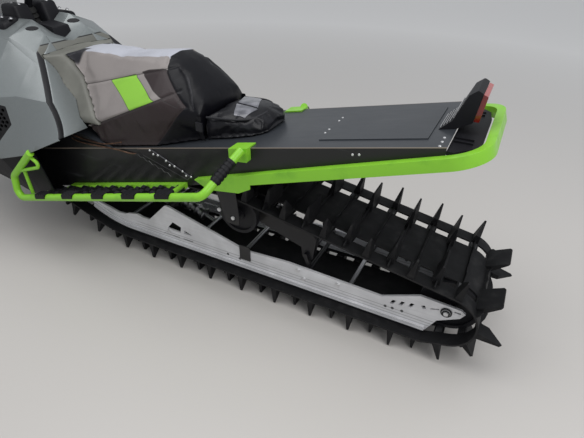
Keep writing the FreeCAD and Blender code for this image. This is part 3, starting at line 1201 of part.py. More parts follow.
ski = joined([blade, keel, wear_bar] + ribs + saddles + loops + [ski_bolt])
parts["ski_left"] = ski
parts["ski_right"] = mirrored(ski)

# Front bumper: a loop from the hull, with two stays up to it
BUMPER_TUBE_D = 24.0
nose_y = HULL_Y + SEAT_GAP + BUMPER_TUBE_D / 2
NOSE_REAR = (2640.0, 420.0)
NOSE_FRONT = (2860.0, 450.0)
parts["front_bumper"] = bent_bar([
    (NOSE_REAR[0], -nose_y, NOSE_REAR[1]), (NOSE_FRONT[0], -nose_y, NOSE_FRONT[1]),
    (NOSE_FRONT[0], nose_y, NOSE_FRONT[1]), (NOSE_REAR[0], nose_y, NOSE_REAR[1])], BUMPER_TUBE_D, 50.0)

# Steering

STAND = (1930.0, 2010.0, 28.0, 745.0)   # rear, front, half width, top
stand = box(STAND[0], STAND[1], -STAND[2], STAND[2], TUNNEL_FRONT[1] + SEAT_GAP, STAND[3])
bearing = Part.makeCylinder(POST_D / 2 + SEAT_GAP, POST_LENGTH, post_foot - post_axis * SEAT_GAP, post_axis)
parts["steering_stand"] = stand.cut(bearing)
parts["steering_post"] = Part.makeCylinder(POST_D / 2, POST_LENGTH, post_foot, post_axis)

bar_offset = POST_D / 2 + SEAT_GAP + BAR_D / 2
bar_x = post_head.x + bar_offset * math.cos(lean) + BAR_DROP * math.sin(lean)
bar_z = post_head.z + bar_offset * math.sin(lean) - BAR_DROP * math.cos(lean)
bar = bent_bar([
    (bar_x - BAR_SWEEP, -BAR_HALF, bar_z), (bar_x, -BAR_STRAIGHT, bar_z),
    (bar_x, BAR_STRAIGHT, bar_z), (bar_x - BAR_SWEEP, BAR_HALF, bar_z)], BAR_D, 60.0)
# Controls on the bar: a clamp block, and a lever ahead of each grip
CLAMP_HALF = 20.0
LEVER_D = 9.0
clamp_y = BAR_HALF - GRIP_LENGTH - CLAMP_HALF - RUN_GAP
sweep = BAR_SWEEP / (BAR_HALF - BAR_STRAIGHT)
clamp_x = bar_x - sweep * (clamp_y - BAR_STRAIGHT)
clamp = box(clamp_x - 18.0, clamp_x + 34.0, clamp_y - CLAMP_HALF, clamp_y + CLAMP_HALF, bar_z - 18.0, bar_z + 18.0)
lever = bent_bar([
    (clamp_x + 26.0, clamp_y, bar_z), (clamp_x + 44.0, clamp_y + 30.0, bar_z),
    (clamp_x + 34.0, BAR_HALF - 6.0, bar_z)], LEVER_D, 14.0)
pad_half = BAR_STRAIGHT - 30.0
parts["handlebar"] = joined([bar, clamp, lever, mirrored(clamp), mirrored(lever)])
grip_end = V(bar_x - BAR_SWEEP - 6.0 * sweep, BAR_HALF + 6.0, bar_z)
grip_start = V(bar_x - BAR_SWEEP + sweep * GRIP_LENGTH, BAR_HALF - GRIP_LENGTH, bar_z)
bar_core = rod((bar_x - BAR_SWEEP, BAR_HALF, bar_z), (bar_x, BAR_STRAIGHT, bar_z), BAR_D + 2 * SEAT_GAP)
parts["hand_grips"] = both_sides(rod(grip_end, grip_start, GRIP_D).cut(bar_core))

os.makedirs("parts", exist_ok=True)
boxes = [shape.optimalBoundingBox(False) for shape in parts.values()]
middle = (min(b.XMin for b in boxes) + max(b.XMax for b in boxes)) / 2
for name, shape in parts.items():
    moved = shape.copy()
    moved.translate(V(-middle, 0, 0))
    moved.exportStep(os.path.join("parts", name + ".step"))
print("middle station", round(middle, 3))
for name, shape in parts.items():
    print(name, shape.isValid(), len(shape.Solids), round(shape.Volume / 1e6, 3))
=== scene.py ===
# %% [markdown]
# # A long-track snowmobile
# The rails, tunnel, track, arms and body come from the CAD frame. This lesson gives them their
# finishes and adds what a CAD solid is poor at: soft seats, rubber detail, fasteners and small trim.

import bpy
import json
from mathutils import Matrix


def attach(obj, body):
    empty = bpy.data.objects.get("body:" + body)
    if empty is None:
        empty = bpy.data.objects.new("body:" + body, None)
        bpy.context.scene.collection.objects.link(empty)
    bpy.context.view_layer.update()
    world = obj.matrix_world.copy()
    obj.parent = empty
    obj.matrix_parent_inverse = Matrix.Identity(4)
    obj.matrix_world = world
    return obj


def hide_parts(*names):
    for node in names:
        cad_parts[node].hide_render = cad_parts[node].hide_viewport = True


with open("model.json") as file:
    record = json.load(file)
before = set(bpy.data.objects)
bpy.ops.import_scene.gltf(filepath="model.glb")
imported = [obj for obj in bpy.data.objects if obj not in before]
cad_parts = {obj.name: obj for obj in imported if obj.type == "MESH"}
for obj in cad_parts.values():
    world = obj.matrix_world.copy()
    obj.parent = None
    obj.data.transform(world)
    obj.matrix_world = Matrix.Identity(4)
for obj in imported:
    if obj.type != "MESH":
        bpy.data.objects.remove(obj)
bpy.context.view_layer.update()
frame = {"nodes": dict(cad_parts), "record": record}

import json
import math

import bmesh
import bpy
from mathutils import Matrix, Vector

nodes = frame["nodes"]
MIDDLE = 1.479812        # station of the frame's origin, measured from the camera's foot, in metres


def at(station, y, z):
    """A point of the frame from a station, a side distance and a height, all in millimetres."""
    return Vector((station / 1000 - MIDDLE, y / 1000, z / 1000))


# %% [markdown]
# ## The camera
# The photograph was taken standing beside the tail, looking down at the rear half of the machine. The
# camera's place and turn are solved from known sizes in it, such as the track's width and the pitch of
# its paddles, so the render can be laid over the photograph. The lens is given as a focal length in
# pixels of an image 584 wide, which becomes millimetres on a 36 mm sensor.

# %% Camera
IMAGE = (584, 438)
FOCAL_PIXELS = 442.615
SENSOR = 36.0
PITCH = math.radians(33.583)
ROLL = math.radians(-0.485)
HEADING = Vector((0.45115, -0.89245, 0.0))

ahead = (math.cos(PITCH) * HEADING - Vector((0.0, 0.0, math.sin(PITCH)))).normalized()
level_right = Vector((HEADING.y, -HEADING.x, 0.0)).normalized()
level_down = ahead.cross(level_right)
right = math.cos(ROLL) * level_right + math.sin(ROLL) * level_down
down = math.cos(ROLL) * level_down - math.sin(ROLL) * level_right
camera_data = bpy.data.cameras.new("view")
camera_data.sensor_width = SENSOR
camera_data.lens = FOCAL_PIXELS / IMAGE[0] * SENSOR
camera_data.clip_end = 100.0
camera = bpy.data.objects.new("view", camera_data)
bpy.context.scene.collection.objects.link(camera)
turn = Matrix((right, -down, -ahead)).transposed().to_4x4()
camera.matrix_world = Matrix.Translation(at(0.0, 1280.0, 1232.0)) @ turn
bpy.context.scene.camera = camera
print("camera at", camera.matrix_world.translation[:], "lens", round(camera_data.lens, 2))

# %% [markdown]
# ## Shader maths in Python
# A finish that varies over a surface is a sum of small patterns. Wiring each Math node by hand is slow
# to write and hard to read, so one small class wraps a socket and turns `+`, `-` and `*` into Math
# nodes. Every other node comes from one method that takes its type, its settings and its inputs.


# %% Sockets with arithmetic
class Signal:
    """A node's output, with arithmetic that adds Math nodes."""

    def __init__(self, finish, socket):
        self.finish = finish
        self.socket = socket

    def math(self, operation, first, second=0.0):
        return self.finish.node("Math", {"operation": operation}, {0: first, 1: second})

    def __add__(self, other):
        return self.math("ADD", self, other)

    def __sub__(self, other):
        return self.math("SUBTRACT", self, other)

    def __mul__(self, other):
        return self.math("MULTIPLY", self, other)

    def __radd__(self, other):
        return self.math("ADD", other, self)

    def __rsub__(self, other):
        return self.math("SUBTRACT", other, self)

    def __rmul__(self, other):
        return self.math("MULTIPLY", other, self)

    def __abs__(self):
        return self.math("ABSOLUTE", self)

    def least(self, other):
        return self.math("MINIMUM", self, other)

    def most(self, other):
        return self.math("MAXIMUM", self, other)

    def wave(self):
        return self.math("SINE", self)

    def step(self, low, high, smooth=True):
        """0 below low, 1 above high, and a ramp between them."""
        kind = "SMOOTHSTEP" if smooth else "LINEAR"
        settings = {"interpolation_type": kind, "clamp": True}
        return self.finish.node("MapRange", settings, {0: self, 1: low, 2: high, 3: 0.0, 4: 1.0})


class Finish:
    """A material on the Principled shader. Constants go on the shader's own sockets."""

    def __init__(self, name, colour, roughness, **fixed):
        self.material = bpy.data.materials.new(name)
        self.material.use_nodes = True
        self.tree = self.material.node_tree
        self.shader = self.tree.nodes["Principled BSDF"]
        self.colour(colour)
        self.put(self.shader.inputs["Roughness"], roughness)
        for socket, value in fixed.items():
            self.put(self.shader.inputs[socket.replace("_", " ")], value)
        self.place = self.node("TexCoord", {}, {}, 3)
        self.x, self.y, self.z = [self.node("SeparateXYZ", {}, {0: self.place}, i) for i in range(3)]

    def node(self, kind, settings, inputs, out=0):
        """Adds a node: its settings first, then values or links of its sockets."""
        node = self.tree.nodes.new("ShaderNode" + kind)
        for name, value in settings.items():
            setattr(node, name, value)
        for key, value in inputs.items():
            self.put(node.inputs[key], value)
        return Signal(self, node.outputs[out])

    def put(self, socket, value):
        if isinstance(value, Signal):
            self.tree.links.new(value.socket, socket)
        elif isinstance(value, tuple) and len(value) == 3 and socket.type == "RGBA":
            socket.default_value = (*value, 1.0)
        else:
            socket.default_value = value

    def colour(self, value):
        self.put(self.shader.inputs["Base Color"], value)

    def rough(self, value):
        self.put(self.shader.inputs["Roughness"], value)

    def metal(self, value):
        self.put(self.shader.inputs["Metallic"], value)

    def mix(self, share, first, second):
        """A colour between two colours."""
        return self.node("Mix", {"data_type": "RGBA"}, {0: share, 6: first, 7: second}, 2)

    def noise(self, scale, detail=4.0, stretch=(1.0, 1.0, 1.0)):
        """Soft noise, about 0.5, on object coordinates that may be stretched."""
        where = self.node("VectorMath", {"operation": "MULTIPLY"}, {0: self.place, 1: stretch})
        return self.node("TexNoise", {}, {"Vector": where, "Scale": scale, "Detail": detail})

    def cells(self, scale):
        """Distance within the cells of a Voronoi pattern."""
        return self.node("TexVoronoi", {"feature": "F1"}, {"Vector": self.place, "Scale": scale})

    def bump(self, height, strength, distance=0.001):
        normal = self.node("Bump", {}, {"Height": height, "Strength": strength, "Distance": distance})
        self.put(self.shader.inputs["Normal"], normal)
        return self


# %% [markdown]
# ## Marks by station and height
# Seams, colour panels and worn folds run along straight lines on the machine's side view. They could be
# painted as an image, which has to be unwrapped and blurs when it is seen near. A signed distance from
# such a line is one sum of the object coordinates, so each mark needs no image and stays sharp.

# %% Masks from straight lines
def line_distance(u, v, start, end):
    """Signed distance from the line through two points given in millimetres: positive on its left."""
    (au, av), (bu, bv) = [(p / 1000, q / 1000) for p, q in (start, end)]
    length = math.hypot(bu - au, bv - av)
    return (u - au) * ((av - bv) / length) + (v - av) * ((bu - au) / length)


def strongest(masks):
    """The largest of several masks."""
    most, *others = masks
    for mask in others:
        most = most.most(mask)
    return most


def patch(u, v, corners, soft=0.001):
    """1 inside a convex patch whose corners run anticlockwise, 0 outside."""
    mask = None
    for start, end in zip(corners, corners[1:] + corners[:1]):
        inside = line_distance(u, v, start, end).step(-soft, soft)
        mask = inside if mask is None else mask * inside
    return mask


def side_line(f, start, end):
    """Signed distance from a line between two (station, height) points."""
    return line_distance(f.x + MIDDLE, f.z, start, end)


def side_patch(f, corners, soft=0.001):
    """A patch on the side view, the same on both sides."""
    return patch(f.x + MIDDLE, f.z, corners, soft)


def plan_patch(f, corners, soft=0.001):
    """A patch on the view from above, the same on both sides."""
    return patch(f.x + MIDDLE, abs(f.y), corners, soft)


def seam_line(f, start, end, half=0.0014):
    """1 on a thin line between two (station, height) points."""
    (ax, az), (bx, bz) = [(x / 1000 - MIDDLE, z / 1000) for x, z in (start, end)]
    length = math.hypot(bx - ax, bz - az)
    along = (f.x - ax) * ((bx - ax) / length) + (f.z - az) * ((bz - az) / length)
    near = 1.0 - abs(side_line(f, start, end)).step(half * 0.5, half)
    return near * along.step(-half, half) * (1.0 - along.step(length - half, length + half))


def seam_path(f, points, half=0.0014):
    """1 on a chain of thin lines."""
    return strongest([seam_line(f, start, end, half) for start, end in zip(points, points[1:])])


def spot(f, station, height, radius):
    """1 on a small round mark of the side view, with a soft edge."""
    across, above = f.x - (station / 1000 - MIDDLE), f.z - height / 1000
    away = across * across + above * above
    return 1.0 - away.step((radius / 1000 * 0.85) ** 2, (radius / 1000) ** 2)


# %% [markdown]
# ## Finishes
# Paint, rubber, bare alloy, plastic and vinyl are told apart by how sharp the reflection is, how fine the
# grain is, and where the surface is worn or dusty. One flat colour would make them all look like toys, so
# each finish adds a grain of the right size in metres and a slow variation to its base colour.

# %% Metals and paints
RUBBER_DARK = (0.006, 0.006, 0.007)
RUBBER_DUSTY = (0.032, 0.031, 0.031)
LIME = (0.235, 0.56, 0.035)
LIME_SHADE = (0.17, 0.44, 0.03)
BLACK = (0.006, 0.006, 0.008)
STEEL = (0.42, 0.42, 0.43)
RAIL_LINES = (0.1155, 0.1275, 0.1405)      # heights of the extrusion's grooves, in metres
RAIL_HOLES = ((211, 140), (186, 141), (153, 142), (860, 131), (804, 128))
RAIL_HOLE_RADIUS = 6.0
GROOVES_FROM = 0.12        # the grooves show behind this distance from the frame's middle
SADDLE_AT, SADDLE_FOOT = 0.777, 0.125      # station and foot of the black plates on the rails
DECK_EDGE = 0.197          # half width of the tunnel's flat top
DECK_LINE = ((116, 774), (1330, 513.6))


def rail_alloy():
    """Bare extruded alloy: lengthwise grooves near the foot with painted shade in them, fine drawing lines,
    dull patches.
    """
    f = Finish("rail_alloy", (0.7, 0.7, 0.72), 0.42, Metallic=0.2)
    lines = f.noise(260.0, 3.0, (0.03, 1.0, 1.0))
    patches = f.noise(9.0, 5.0)
    shaded_grooves = strongest([1.0 - abs(f.z - height).step(0.0006, 0.0018) for height in RAIL_LINES])
    shaded_grooves = shaded_grooves * (0.0 - f.x).step(GROOVES_FROM, GROOVES_FROM + 0.04)
    pale = f.mix(patches.step(0.35, 0.7), (0.6, 0.6, 0.615), (0.75, 0.75, 0.77))
    pale = f.mix(lines.step(0.45, 0.75) * 0.25, pale, (0.45, 0.45, 0.46))
    # painted shade: the rail's holes are near-black spots of colour on the solid plate
    hole_shade = strongest([spot(f, *place, RAIL_HOLE_RADIUS) for place in RAIL_HOLES])
    pale = f.mix(hole_shade * 0.95, pale, (0.02, 0.02, 0.02))
    # painted shade: the grooves are coloured darker, where shade falls in them
    f.colour(f.mix(shaded_grooves * 0.6, pale, (0.16, 0.16, 0.165)))
    f.rough(0.34 + 0.12 * lines + 0.16 * patches)
    return f.bump(lines * 0.3 - shaded_grooves, 0.25, 0.0008)


def bare_steel():
    """Satin steel rods; the two small saddle plates outside the rails are black."""
    f = Finish("bare_steel", STEEL, 0.34, Metallic=1.0)
    saddles = abs(f.y).step(0.1445, 0.1447) * (f.z - SADDLE_FOOT).step(0.0, 0.001)
    saddles = saddles * (1.0 - abs(f.x + MIDDLE - SADDLE_AT).step(0.028, 0.029))
    f.colour(f.mix(saddles, STEEL, (0.012, 0.012, 0.013)))
    f.metal(1.0 - saddles)
    f.rough(0.26 + 0.2 * f.noise(60.0))
    return f.bump(f.noise(400.0, 2.0), 0.1, 0.0004)


def painted(name, colour, shade, gloss):
    """Coated metal: orange peel under a gloss, darker where dirt stays."""
    f = Finish(name, colour, gloss, Coat_Weight=0.2, Coat_Roughness=0.16, Specular_IOR_Level=0.3)
    dirt = f.noise(14.0, 6.0)
    f.colour(f.mix(dirt.step(0.5, 0.78), colour, shade))
    f.rough(gloss + 0.18 * dirt.step(0.35, 0.75))
    return f.bump(f.noise(220.0, 2.0), 0.25, 0.0004)


def tunnel_black():
    """Folded sheet in a semi-gloss black coat: scuffs, a black strap with a rim, a painted sheen on the
    deck, and a painted highlight along the fold.
    """
    f = Finish("tunnel_black", (0.02, 0.021, 0.024), 0.3, Coat_Weight=0.2, Coat_Roughness=0.16,
               Specular_IOR_Level=0.35)
    scuffs = f.noise(46.0, 5.0, (0.15, 1.0, 1.0))
    clouds = f.noise(5.0, 3.0)
    side = abs(f.y).step(DECK_EDGE, DECK_EDGE + 0.0015)
    # painted sheen: the deck is coloured lighter and bluer than the sides of the same black sheet
    coat = f.mix(side, (0.03, 0.034, 0.04), (0.009, 0.009, 0.01))
    coat = f.mix(scuffs.step(0.6, 0.85) * 0.5, coat, (0.07, 0.073, 0.08))
    strap = side_patch(f, ((1184, 543), (1121, 557), (948, 486), (962, 470), (1160, 524))) * side
    rim = seam_path(f, ((1121, 556), (950, 485), (963, 471), (1160, 525)), 0.0012) * side
    coat = f.mix(strap, coat, (0.004, 0.004, 0.005))
    coat = f.mix(rim * 0.6, coat, (0.12, 0.12, 0.13))
    # painted highlight: a pale brown line along the deck's fold
    fold_highlight = (1.0 - abs(side_line(f, *DECK_LINE)).step(0.0014, 0.0026)) * side
    f.colour(f.mix(fold_highlight * 0.7, coat, (0.33, 0.27, 0.22)))
    f.rough(0.26 + 0.2 * clouds + 0.12 * scuffs)
    return f.bump(f.noise(300.0, 2.0), 0.12, 0.0004)


# %% Rubber, plastics, glass
def track_rubber():
    """Moulded rubber: a pebbled surface, with grey dust in patches and along both sides."""
    f = Finish("track_rubber", RUBBER_DARK, 0.62, Specular_IOR_Level=0.25)
    dust = f.noise(22.0, 6.0).step(0.5, 0.8) * 0.5 + abs(f.y).step(0.1885, 0.1905) * 0.2
    f.colour(f.mix(dust.least(1.0), RUBBER_DARK, RUBBER_DUSTY))
    f.rough(0.5 + 0.28 * f.noise(30.0, 4.0))
    return f.bump(f.noise(240.0, 3.0) + 0.4 * f.noise(60.0, 2.0), 0.35, 0.001)


def moulded(name, colour, roughness, grain=520.0, strength=0.3):
    """Moulded plastic with a fine leather-like grain."""
    f = Finish(name, colour, roughness, Specular_IOR_Level=0.22)
    slow = f.noise(7.0, 4.0)
    lighter = tuple(min(1.0, c * 1.3 + 0.002) for c in colour)
    f.colour(f.mix(slow.step(0.42, 0.72), colour, lighter))
    f.rough(roughness + 0.12 * slow)
    return f.bump(f.cells(grain), strength, 0.0005)


NOSE_STATION, NOSE_HALF, NOSE_TOP = 2.6, 0.15, 0.63        # limits of the hood's black nose


def body_silver():
    """Grey metallic paint on moulded panels: tiny flakes under a clear coat, and a black nose."""
    f = Finish("body_silver", (0.17, 0.19, 0.192), 0.4,
               Metallic=0.3, Coat_Weight=0.4, Coat_Roughness=0.14)
    flakes = f.cells(900.0)
    nose = (f.x + MIDDLE - NOSE_STATION).step(0.0, 0.002)
    nose = nose * (1.0 - abs(f.y).step(NOSE_HALF, NOSE_HALF + 0.002))
    nose = nose * (1.0 - f.z.step(NOSE_TOP - 0.002, NOSE_TOP))
    silver = f.mix(flakes.step(0.1, 0.8), (0.14, 0.158, 0.16), (0.2, 0.218, 0.22))
    f.colour(f.mix(nose, silver, (0.008, 0.008, 0.01)))
    f.rough(0.34 + 0.14 * f.noise(3.0, 3.0))
    return f.bump(f.noise(90.0, 2.0), 0.04, 0.0004)


TRIM_HALF, TRIM_CROWN = 0.172, 0.846       # half width of the grey cover, height of its seam


def knee_trim():
    """Black moulded edges with a grey cover between them, above the seat's tank cover."""
    f = Finish("knee_trim", (0.15, 0.15, 0.13), 0.34)
    middle = 1.0 - abs(f.y).step(TRIM_HALF, TRIM_HALF + 0.002)
    crown = (f.z - TRIM_CROWN).step(0.0, 0.0015)
    grey = f.mix(crown, (0.13, 0.13, 0.115), (0.16, 0.178, 0.18))
    seam = 1.0 - abs(f.z - TRIM_CROWN).step(0.0012, 0.0024)
    grey = f.mix(seam, grey, (0.012, 0.012, 0.013))
    f.colour(f.mix(middle, BLACK, grey))
    f.rough(0.36 + 0.12 * f.noise(7.0, 4.0))
    return f.bump(f.cells(520.0), 0.12, 0.0005)


def see_through(name, colour, alpha):
    """Clear or smoked plastic with a few dull patches."""
    f = Finish(name, colour, 0.06, Alpha=alpha, Coat_Weight=0.6)
    f.rough(0.06 + 0.08 * f.noise(18.0, 4.0).step(0.5, 0.8))
    return f


PRISMS = 900.0     # radians of the lens's ribs in a metre


def lens_red():
    """Red lamp plastic, ribbed inside: thin upright prisms show as darker lines."""
    f = Finish("lens_red", (0.42, 0.012, 0.01), 0.16, Coat_Weight=0.8, Coat_Roughness=0.05)
    prisms = (f.y * PRISMS).wave() * 0.5 + 0.5
    f.colour(f.mix(prisms.step(0.25, 0.8), (0.16, 0.004, 0.004), (0.55, 0.03, 0.02)))
    return f.bump(prisms, 0.2, 0.0006)


MOULDED = {                    # colour, roughness, grain to the metre, depth of the grain
    "slider_plastic": ((0.01, 0.01, 0.012), 0.5, 300.0, 0.12),
    "belly_black": (BLACK, 0.44),
    "console_khaki": ((0.135, 0.135, 0.12), 0.32, 620.0, 0.05),
    "vent_black": ((0.01, 0.01, 0.011), 0.5),
    "engine_alloy": ((0.2, 0.2, 0.21), 0.6, 160.0, 0.4),
    "wheel_black": ((0.01, 0.01, 0.012), 0.42, 300.0, 0.15),
    "ski_plastic": ((0.012, 0.012, 0.014), 0.4, 260.0, 0.15),
    "grip_rubber": ((0.018, 0.018, 0.018), 0.75, 240.0, 0.6),
    "seat_black": ((0.016, 0.016, 0.019), 0.42, 700.0, 0.35),
    "seat_grey": ((0.3, 0.285, 0.275), 0.5, 700.0, 0.35),
    "bag_black": ((0.018, 0.018, 0.021), 0.4, 500.0, 0.3),
}
FINISHES = {name: moulded(name, *values) for name, values in MOULDED.items()}
for build in (track_rubber, rail_alloy, bare_steel, tunnel_black, body_silver, knee_trim, lens_red):
    FINISHES[build.__name__] = build()
FINISHES["black_steel"] = painted("black_steel", BLACK, (0.02, 0.019, 0.018), 0.36)
for name in ("lime_paint", "spring_steel"):
    FINISHES[name] = painted(name, LIME, LIME_SHADE, 0.3)
FINISHES["screen_smoke"] = see_through("screen_smoke", (0.05, 0.055, 0.06), 0.5)
FINISHES["lamp_clear"] = see_through("lamp_clear", (0.75, 0.78, 0.8), 0.55)
OWN_FINISH = {"knee_trims": "knee_trim"}       # nodes that don't take their slot's finish
RECORD_SLOTS = {part["node"]: part["material_slot"] for part in frame["record"]["subparts"]}
for node, slot in RECORD_SLOTS.items():
    mesh = nodes[node].data
    mesh.materials.clear()
    mesh.materials.append(FINISHES[OWN_FINISH.get(node, slot)].material)
print("finishes:", len(FINISHES), "nodes with a finish:", len(RECORD_SLOTS))

# %% [markdown]
# ## Making and finishing a piece
# Every new piece is built in a bmesh, with its place in the mesh, and becomes one object at the origin
# that rides on a CAD body. Placing objects instead would hide sizes in their transforms. Copies of CAD
# shells are merged first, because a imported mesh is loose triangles. Shading is smooth except across edges
# sharper than a given angle.

# %% Piece helpers
SHARP = math.radians(32)
FLAT = math.radians(1.0)       # faces that meet at less than this are one face
WELD = 0.00005                 # vertices nearer than this are one vertex, in metres


def make_piece(name, shape, finish, body="chassis", sharp=SHARP):
    """Turns a bmesh into a finished object that rides on a body."""
    bmesh.ops.recalc_face_normals(shape, faces=shape.faces[:])
    data = bpy.data.meshes.new(name)
    shape.to_mesh(data)
    shape.free()
    data.shade_smooth()
    data.set_sharp_from_angle(angle=sharp)
    data.materials.append(finish.material)
    piece = bpy.data.objects.new(name, data)
    bpy.context.scene.collection.objects.link(piece)
    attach(piece, body)
    print(name, "faces:", len(data.polygons))
    return piece


def merged_copy(*names):
    """The meshes of CAD nodes as one clean bmesh: doubles merged, flat faces dissolved."""
    shape = bmesh.new()
    for node in names:
        shape.from_mesh(nodes[node].data)
    bmesh.ops.remove_doubles(shape, verts=shape.verts[:], dist=WELD)
    bmesh.ops.dissolve_limit(shape, angle_limit=FLAT, verts=shape.verts[:], edges=shape.edges[:])
    return shape


def facing(direction):
    """A turn that points a shape's Z along a direction."""
    return Vector(direction).to_track_quat("Z", "Y").to_matrix().to_4x4()


def add_button(shape, place, direction, radius, rise, sides=12, taper=0.75):
    """A rivet or bolt head standing on a surface, narrower at its top."""
    middle = place + Vector(direction).normalized() * (rise / 2)
    bmesh.ops.create_cone(
        shape, cap_ends=True, segments=sides, radius1=radius, radius2=radius * taper, depth=rise,
        matrix=Matrix.Translation(middle) @ facing(direction))


def add_block(shape, size, matrix):
    """A cube stretched to a size in metres and put in place."""
    made = bmesh.ops.create_cube(shape, size=1.0)["verts"]
    bmesh.ops.scale(shape, vec=size, verts=made)
    bmesh.ops.transform(shape, matrix=matrix, verts=made)
    return made


def both_sides(places):
    """Each (station, y, height) and its mirror image."""
    return [(x, s * y, z) for x, y, z in places for s in (1, -1)]


def add_heads(shape, places, *heads):
    """On both sides, heads stacked outwards; each is (radius, rise, sides, taper)."""
    for station, y, height in both_sides(places):
        place, outwards = at(station, y, height), Vector((0.0, y, 0.0)).normalized()
        for head in heads:
            add_button(shape, place, outwards, *head)
            place = place + outwards * (head[1] - 0.0001)


def tube_piece(name, points, radius, finish, sides=3):
    """A rigid bent tube along (station, y, height) points, as a mesh."""
    curve = bpy.data.curves.new(name, "CURVE")
    curve.dimensions = "3D"
    spline = curve.splines.new("NURBS")
    spline.points.add(len(points) - 1)
    for point, place in zip(spline.points, points):
        point.co = (*at(*place), 1.0)
    spline.order_u = 3
    spline.use_endpoint_u = True
    curve.bevel_depth = radius
    curve.bevel_resolution = sides
    curve.use_fill_caps = True
    made = bpy.data.objects.new(name, curve)
    bpy.context.scene.collection.objects.link(made)
    bpy.context.view_layer.update()
    seen = made.evaluated_get(bpy.context.evaluated_depsgraph_get())
    data = bpy.data.meshes.new_from_object(seen)
    bpy.data.objects.remove(made)
    shape = bmesh.new()
    shape.from_mesh(data)
    bmesh.ops.remove_doubles(shape, verts=shape.verts[:], dist=WELD)
    return make_piece(name, shape, finish)


def add_modifier(piece, kind, **settings):
    """A modifier with its settings, which are the same in the view and in the render."""
    modifier = piece.modifiers.new(kind.lower(), kind)
    for name, value in settings.items():
        setattr(modifier, name, value)
    return modifier


def apply_modifiers(piece):
    """Bakes a piece's modifiers into its mesh."""
    bpy.context.view_layer.update()
    seen = piece.evaluated_get(bpy.context.evaluated_depsgraph_get())
    data = bpy.data.meshes.new_from_object(seen)
    piece.modifiers.clear()
    piece.data = data


def refinish(piece, finish):
    """Gives a rebuilt mesh smooth shading and its one finish."""
    piece.data.shade_smooth()
    piece.data.materials.clear()
    piece.data.materials.append(finish.material)


# %% [markdown]
# ## Body panels, bumper and gauge
# The hood, side panels and knee panels are moulded and the rear bumper is a bent flat bar: their edges
# are soft, and light runs round them. The CAD solids have the right shape with knife edges. Smoothing
# the mesh would melt its flats, so each is copied and a bevel of a few segments rounds every edge that is
# sharper than a given angle. The gauge is also drawn a little smaller, to leave room for the dash cowl.

# %% Panels with rounded creases
PANELS = (                     # node, finish, width of the bevel, segments, least angle in degrees
    ("hood", "body_silver", 0.014, 4, 6),
    ("side_panel_left", "body_silver", 0.014, 4, 6),
    ("side_panel_right", "body_silver", 0.014, 4, 6),
    ("fin_left", "body_silver", 0.0015, 2, 6),
    ("fin_right", "body_silver", 0.0015, 2, 6),
    ("rear_bumper", "lime_paint", 0.0105, 5, 50),
    ("gauge", "belly_black", 0.006, 3, 25),
    ("knee_trims", "knee_trim", 0.002, 2, 25),
)
GAUGE_SCALE, GAUGE_FOOT = (0.82, 0.92, 0.86), at(1740, 0, 862)
for node, finish, width, segments, crease in PANELS:
    shape = merged_copy(node)
    if node == "gauge":
        about = Matrix.Translation(-GAUGE_FOOT)
        bmesh.ops.scale(shape, vec=GAUGE_SCALE, space=about, verts=shape.verts[:])
    panel = make_piece(node + "_panel", shape, FINISHES[finish])
    add_modifier(panel, "BEVEL", width=width, segments=segments, limit_method="ANGLE",
                 angle_limit=math.radians(crease), use_clamp_overlap=True)
    apply_modifiers(panel)
    panel.data.shade_smooth()
    panel.data.set_sharp_from_angle(angle=math.radians(40))
    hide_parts(node)

# %% [markdown]
# ## Seat, tank cover and bag
# A seat is foam under stretched vinyl: crowned between its seams, pulled in along them and tight over its
# edges. Smoothing alone gives a soap bar, so the cushion is remeshed evenly from both CAD seat solids,
# drawn in a little and blown up by a short cloth simulation, with a cap on how far a point may move. Then
# its seams are pressed in. Its panels are told apart by masks on object coordinates, because cutting the
# mesh along them would break the even faces that the cloth needs.


# %% Seat vinyl
SEAT_SIDE = (0.262, 0.238, 0.23)
SEAT_TOP = (0.42, 0.43, 0.48)
SEAT_DARK = (0.034, 0.025, 0.026)
SEAT_LIME = (0.26, 0.55, 0.06)
SEAT_REAR = (0.003, 0.003, 0.005)
TOP_FROM, TOP_HALF = 0.8, 0.064            # height and half width where the pale top begins
SIDE_SEAM = ((1560, 695), (1040, 831))
LIME_PATCH = ((1337, 752), (1214, 788), (1076, 730), (1184, 681))
STRIPE_PATCH = ((1214, 788), (1180, 798), (1046, 738), (1076, 730))
DARK_PATCH = ((1183, 799), (1152, 810), (1092, 820), (1000, 800), (1000, 717))
LOW_PATCH = ((1445, 572), (1007, 764), (900, 700), (1000, 560), (1445, 500))
REAR_PATCH = ((960, 702), (1072, 811), (1085, 837), (1100, 870),
              (1100, 960), (700, 960), (700, 702))
UNDER_PATCH = ((976, 718), (700, 718), (700, 400), (1240, 400))
REAR_FOLD = ((1050, 840), (1029, 815), (1000, 788), (972, 750), (955, 710))
HOLLOW_SHADE_PATCH = ((1524, 103), (1495, 43), (1585, 45), (1570, 125))      # stations and side distances


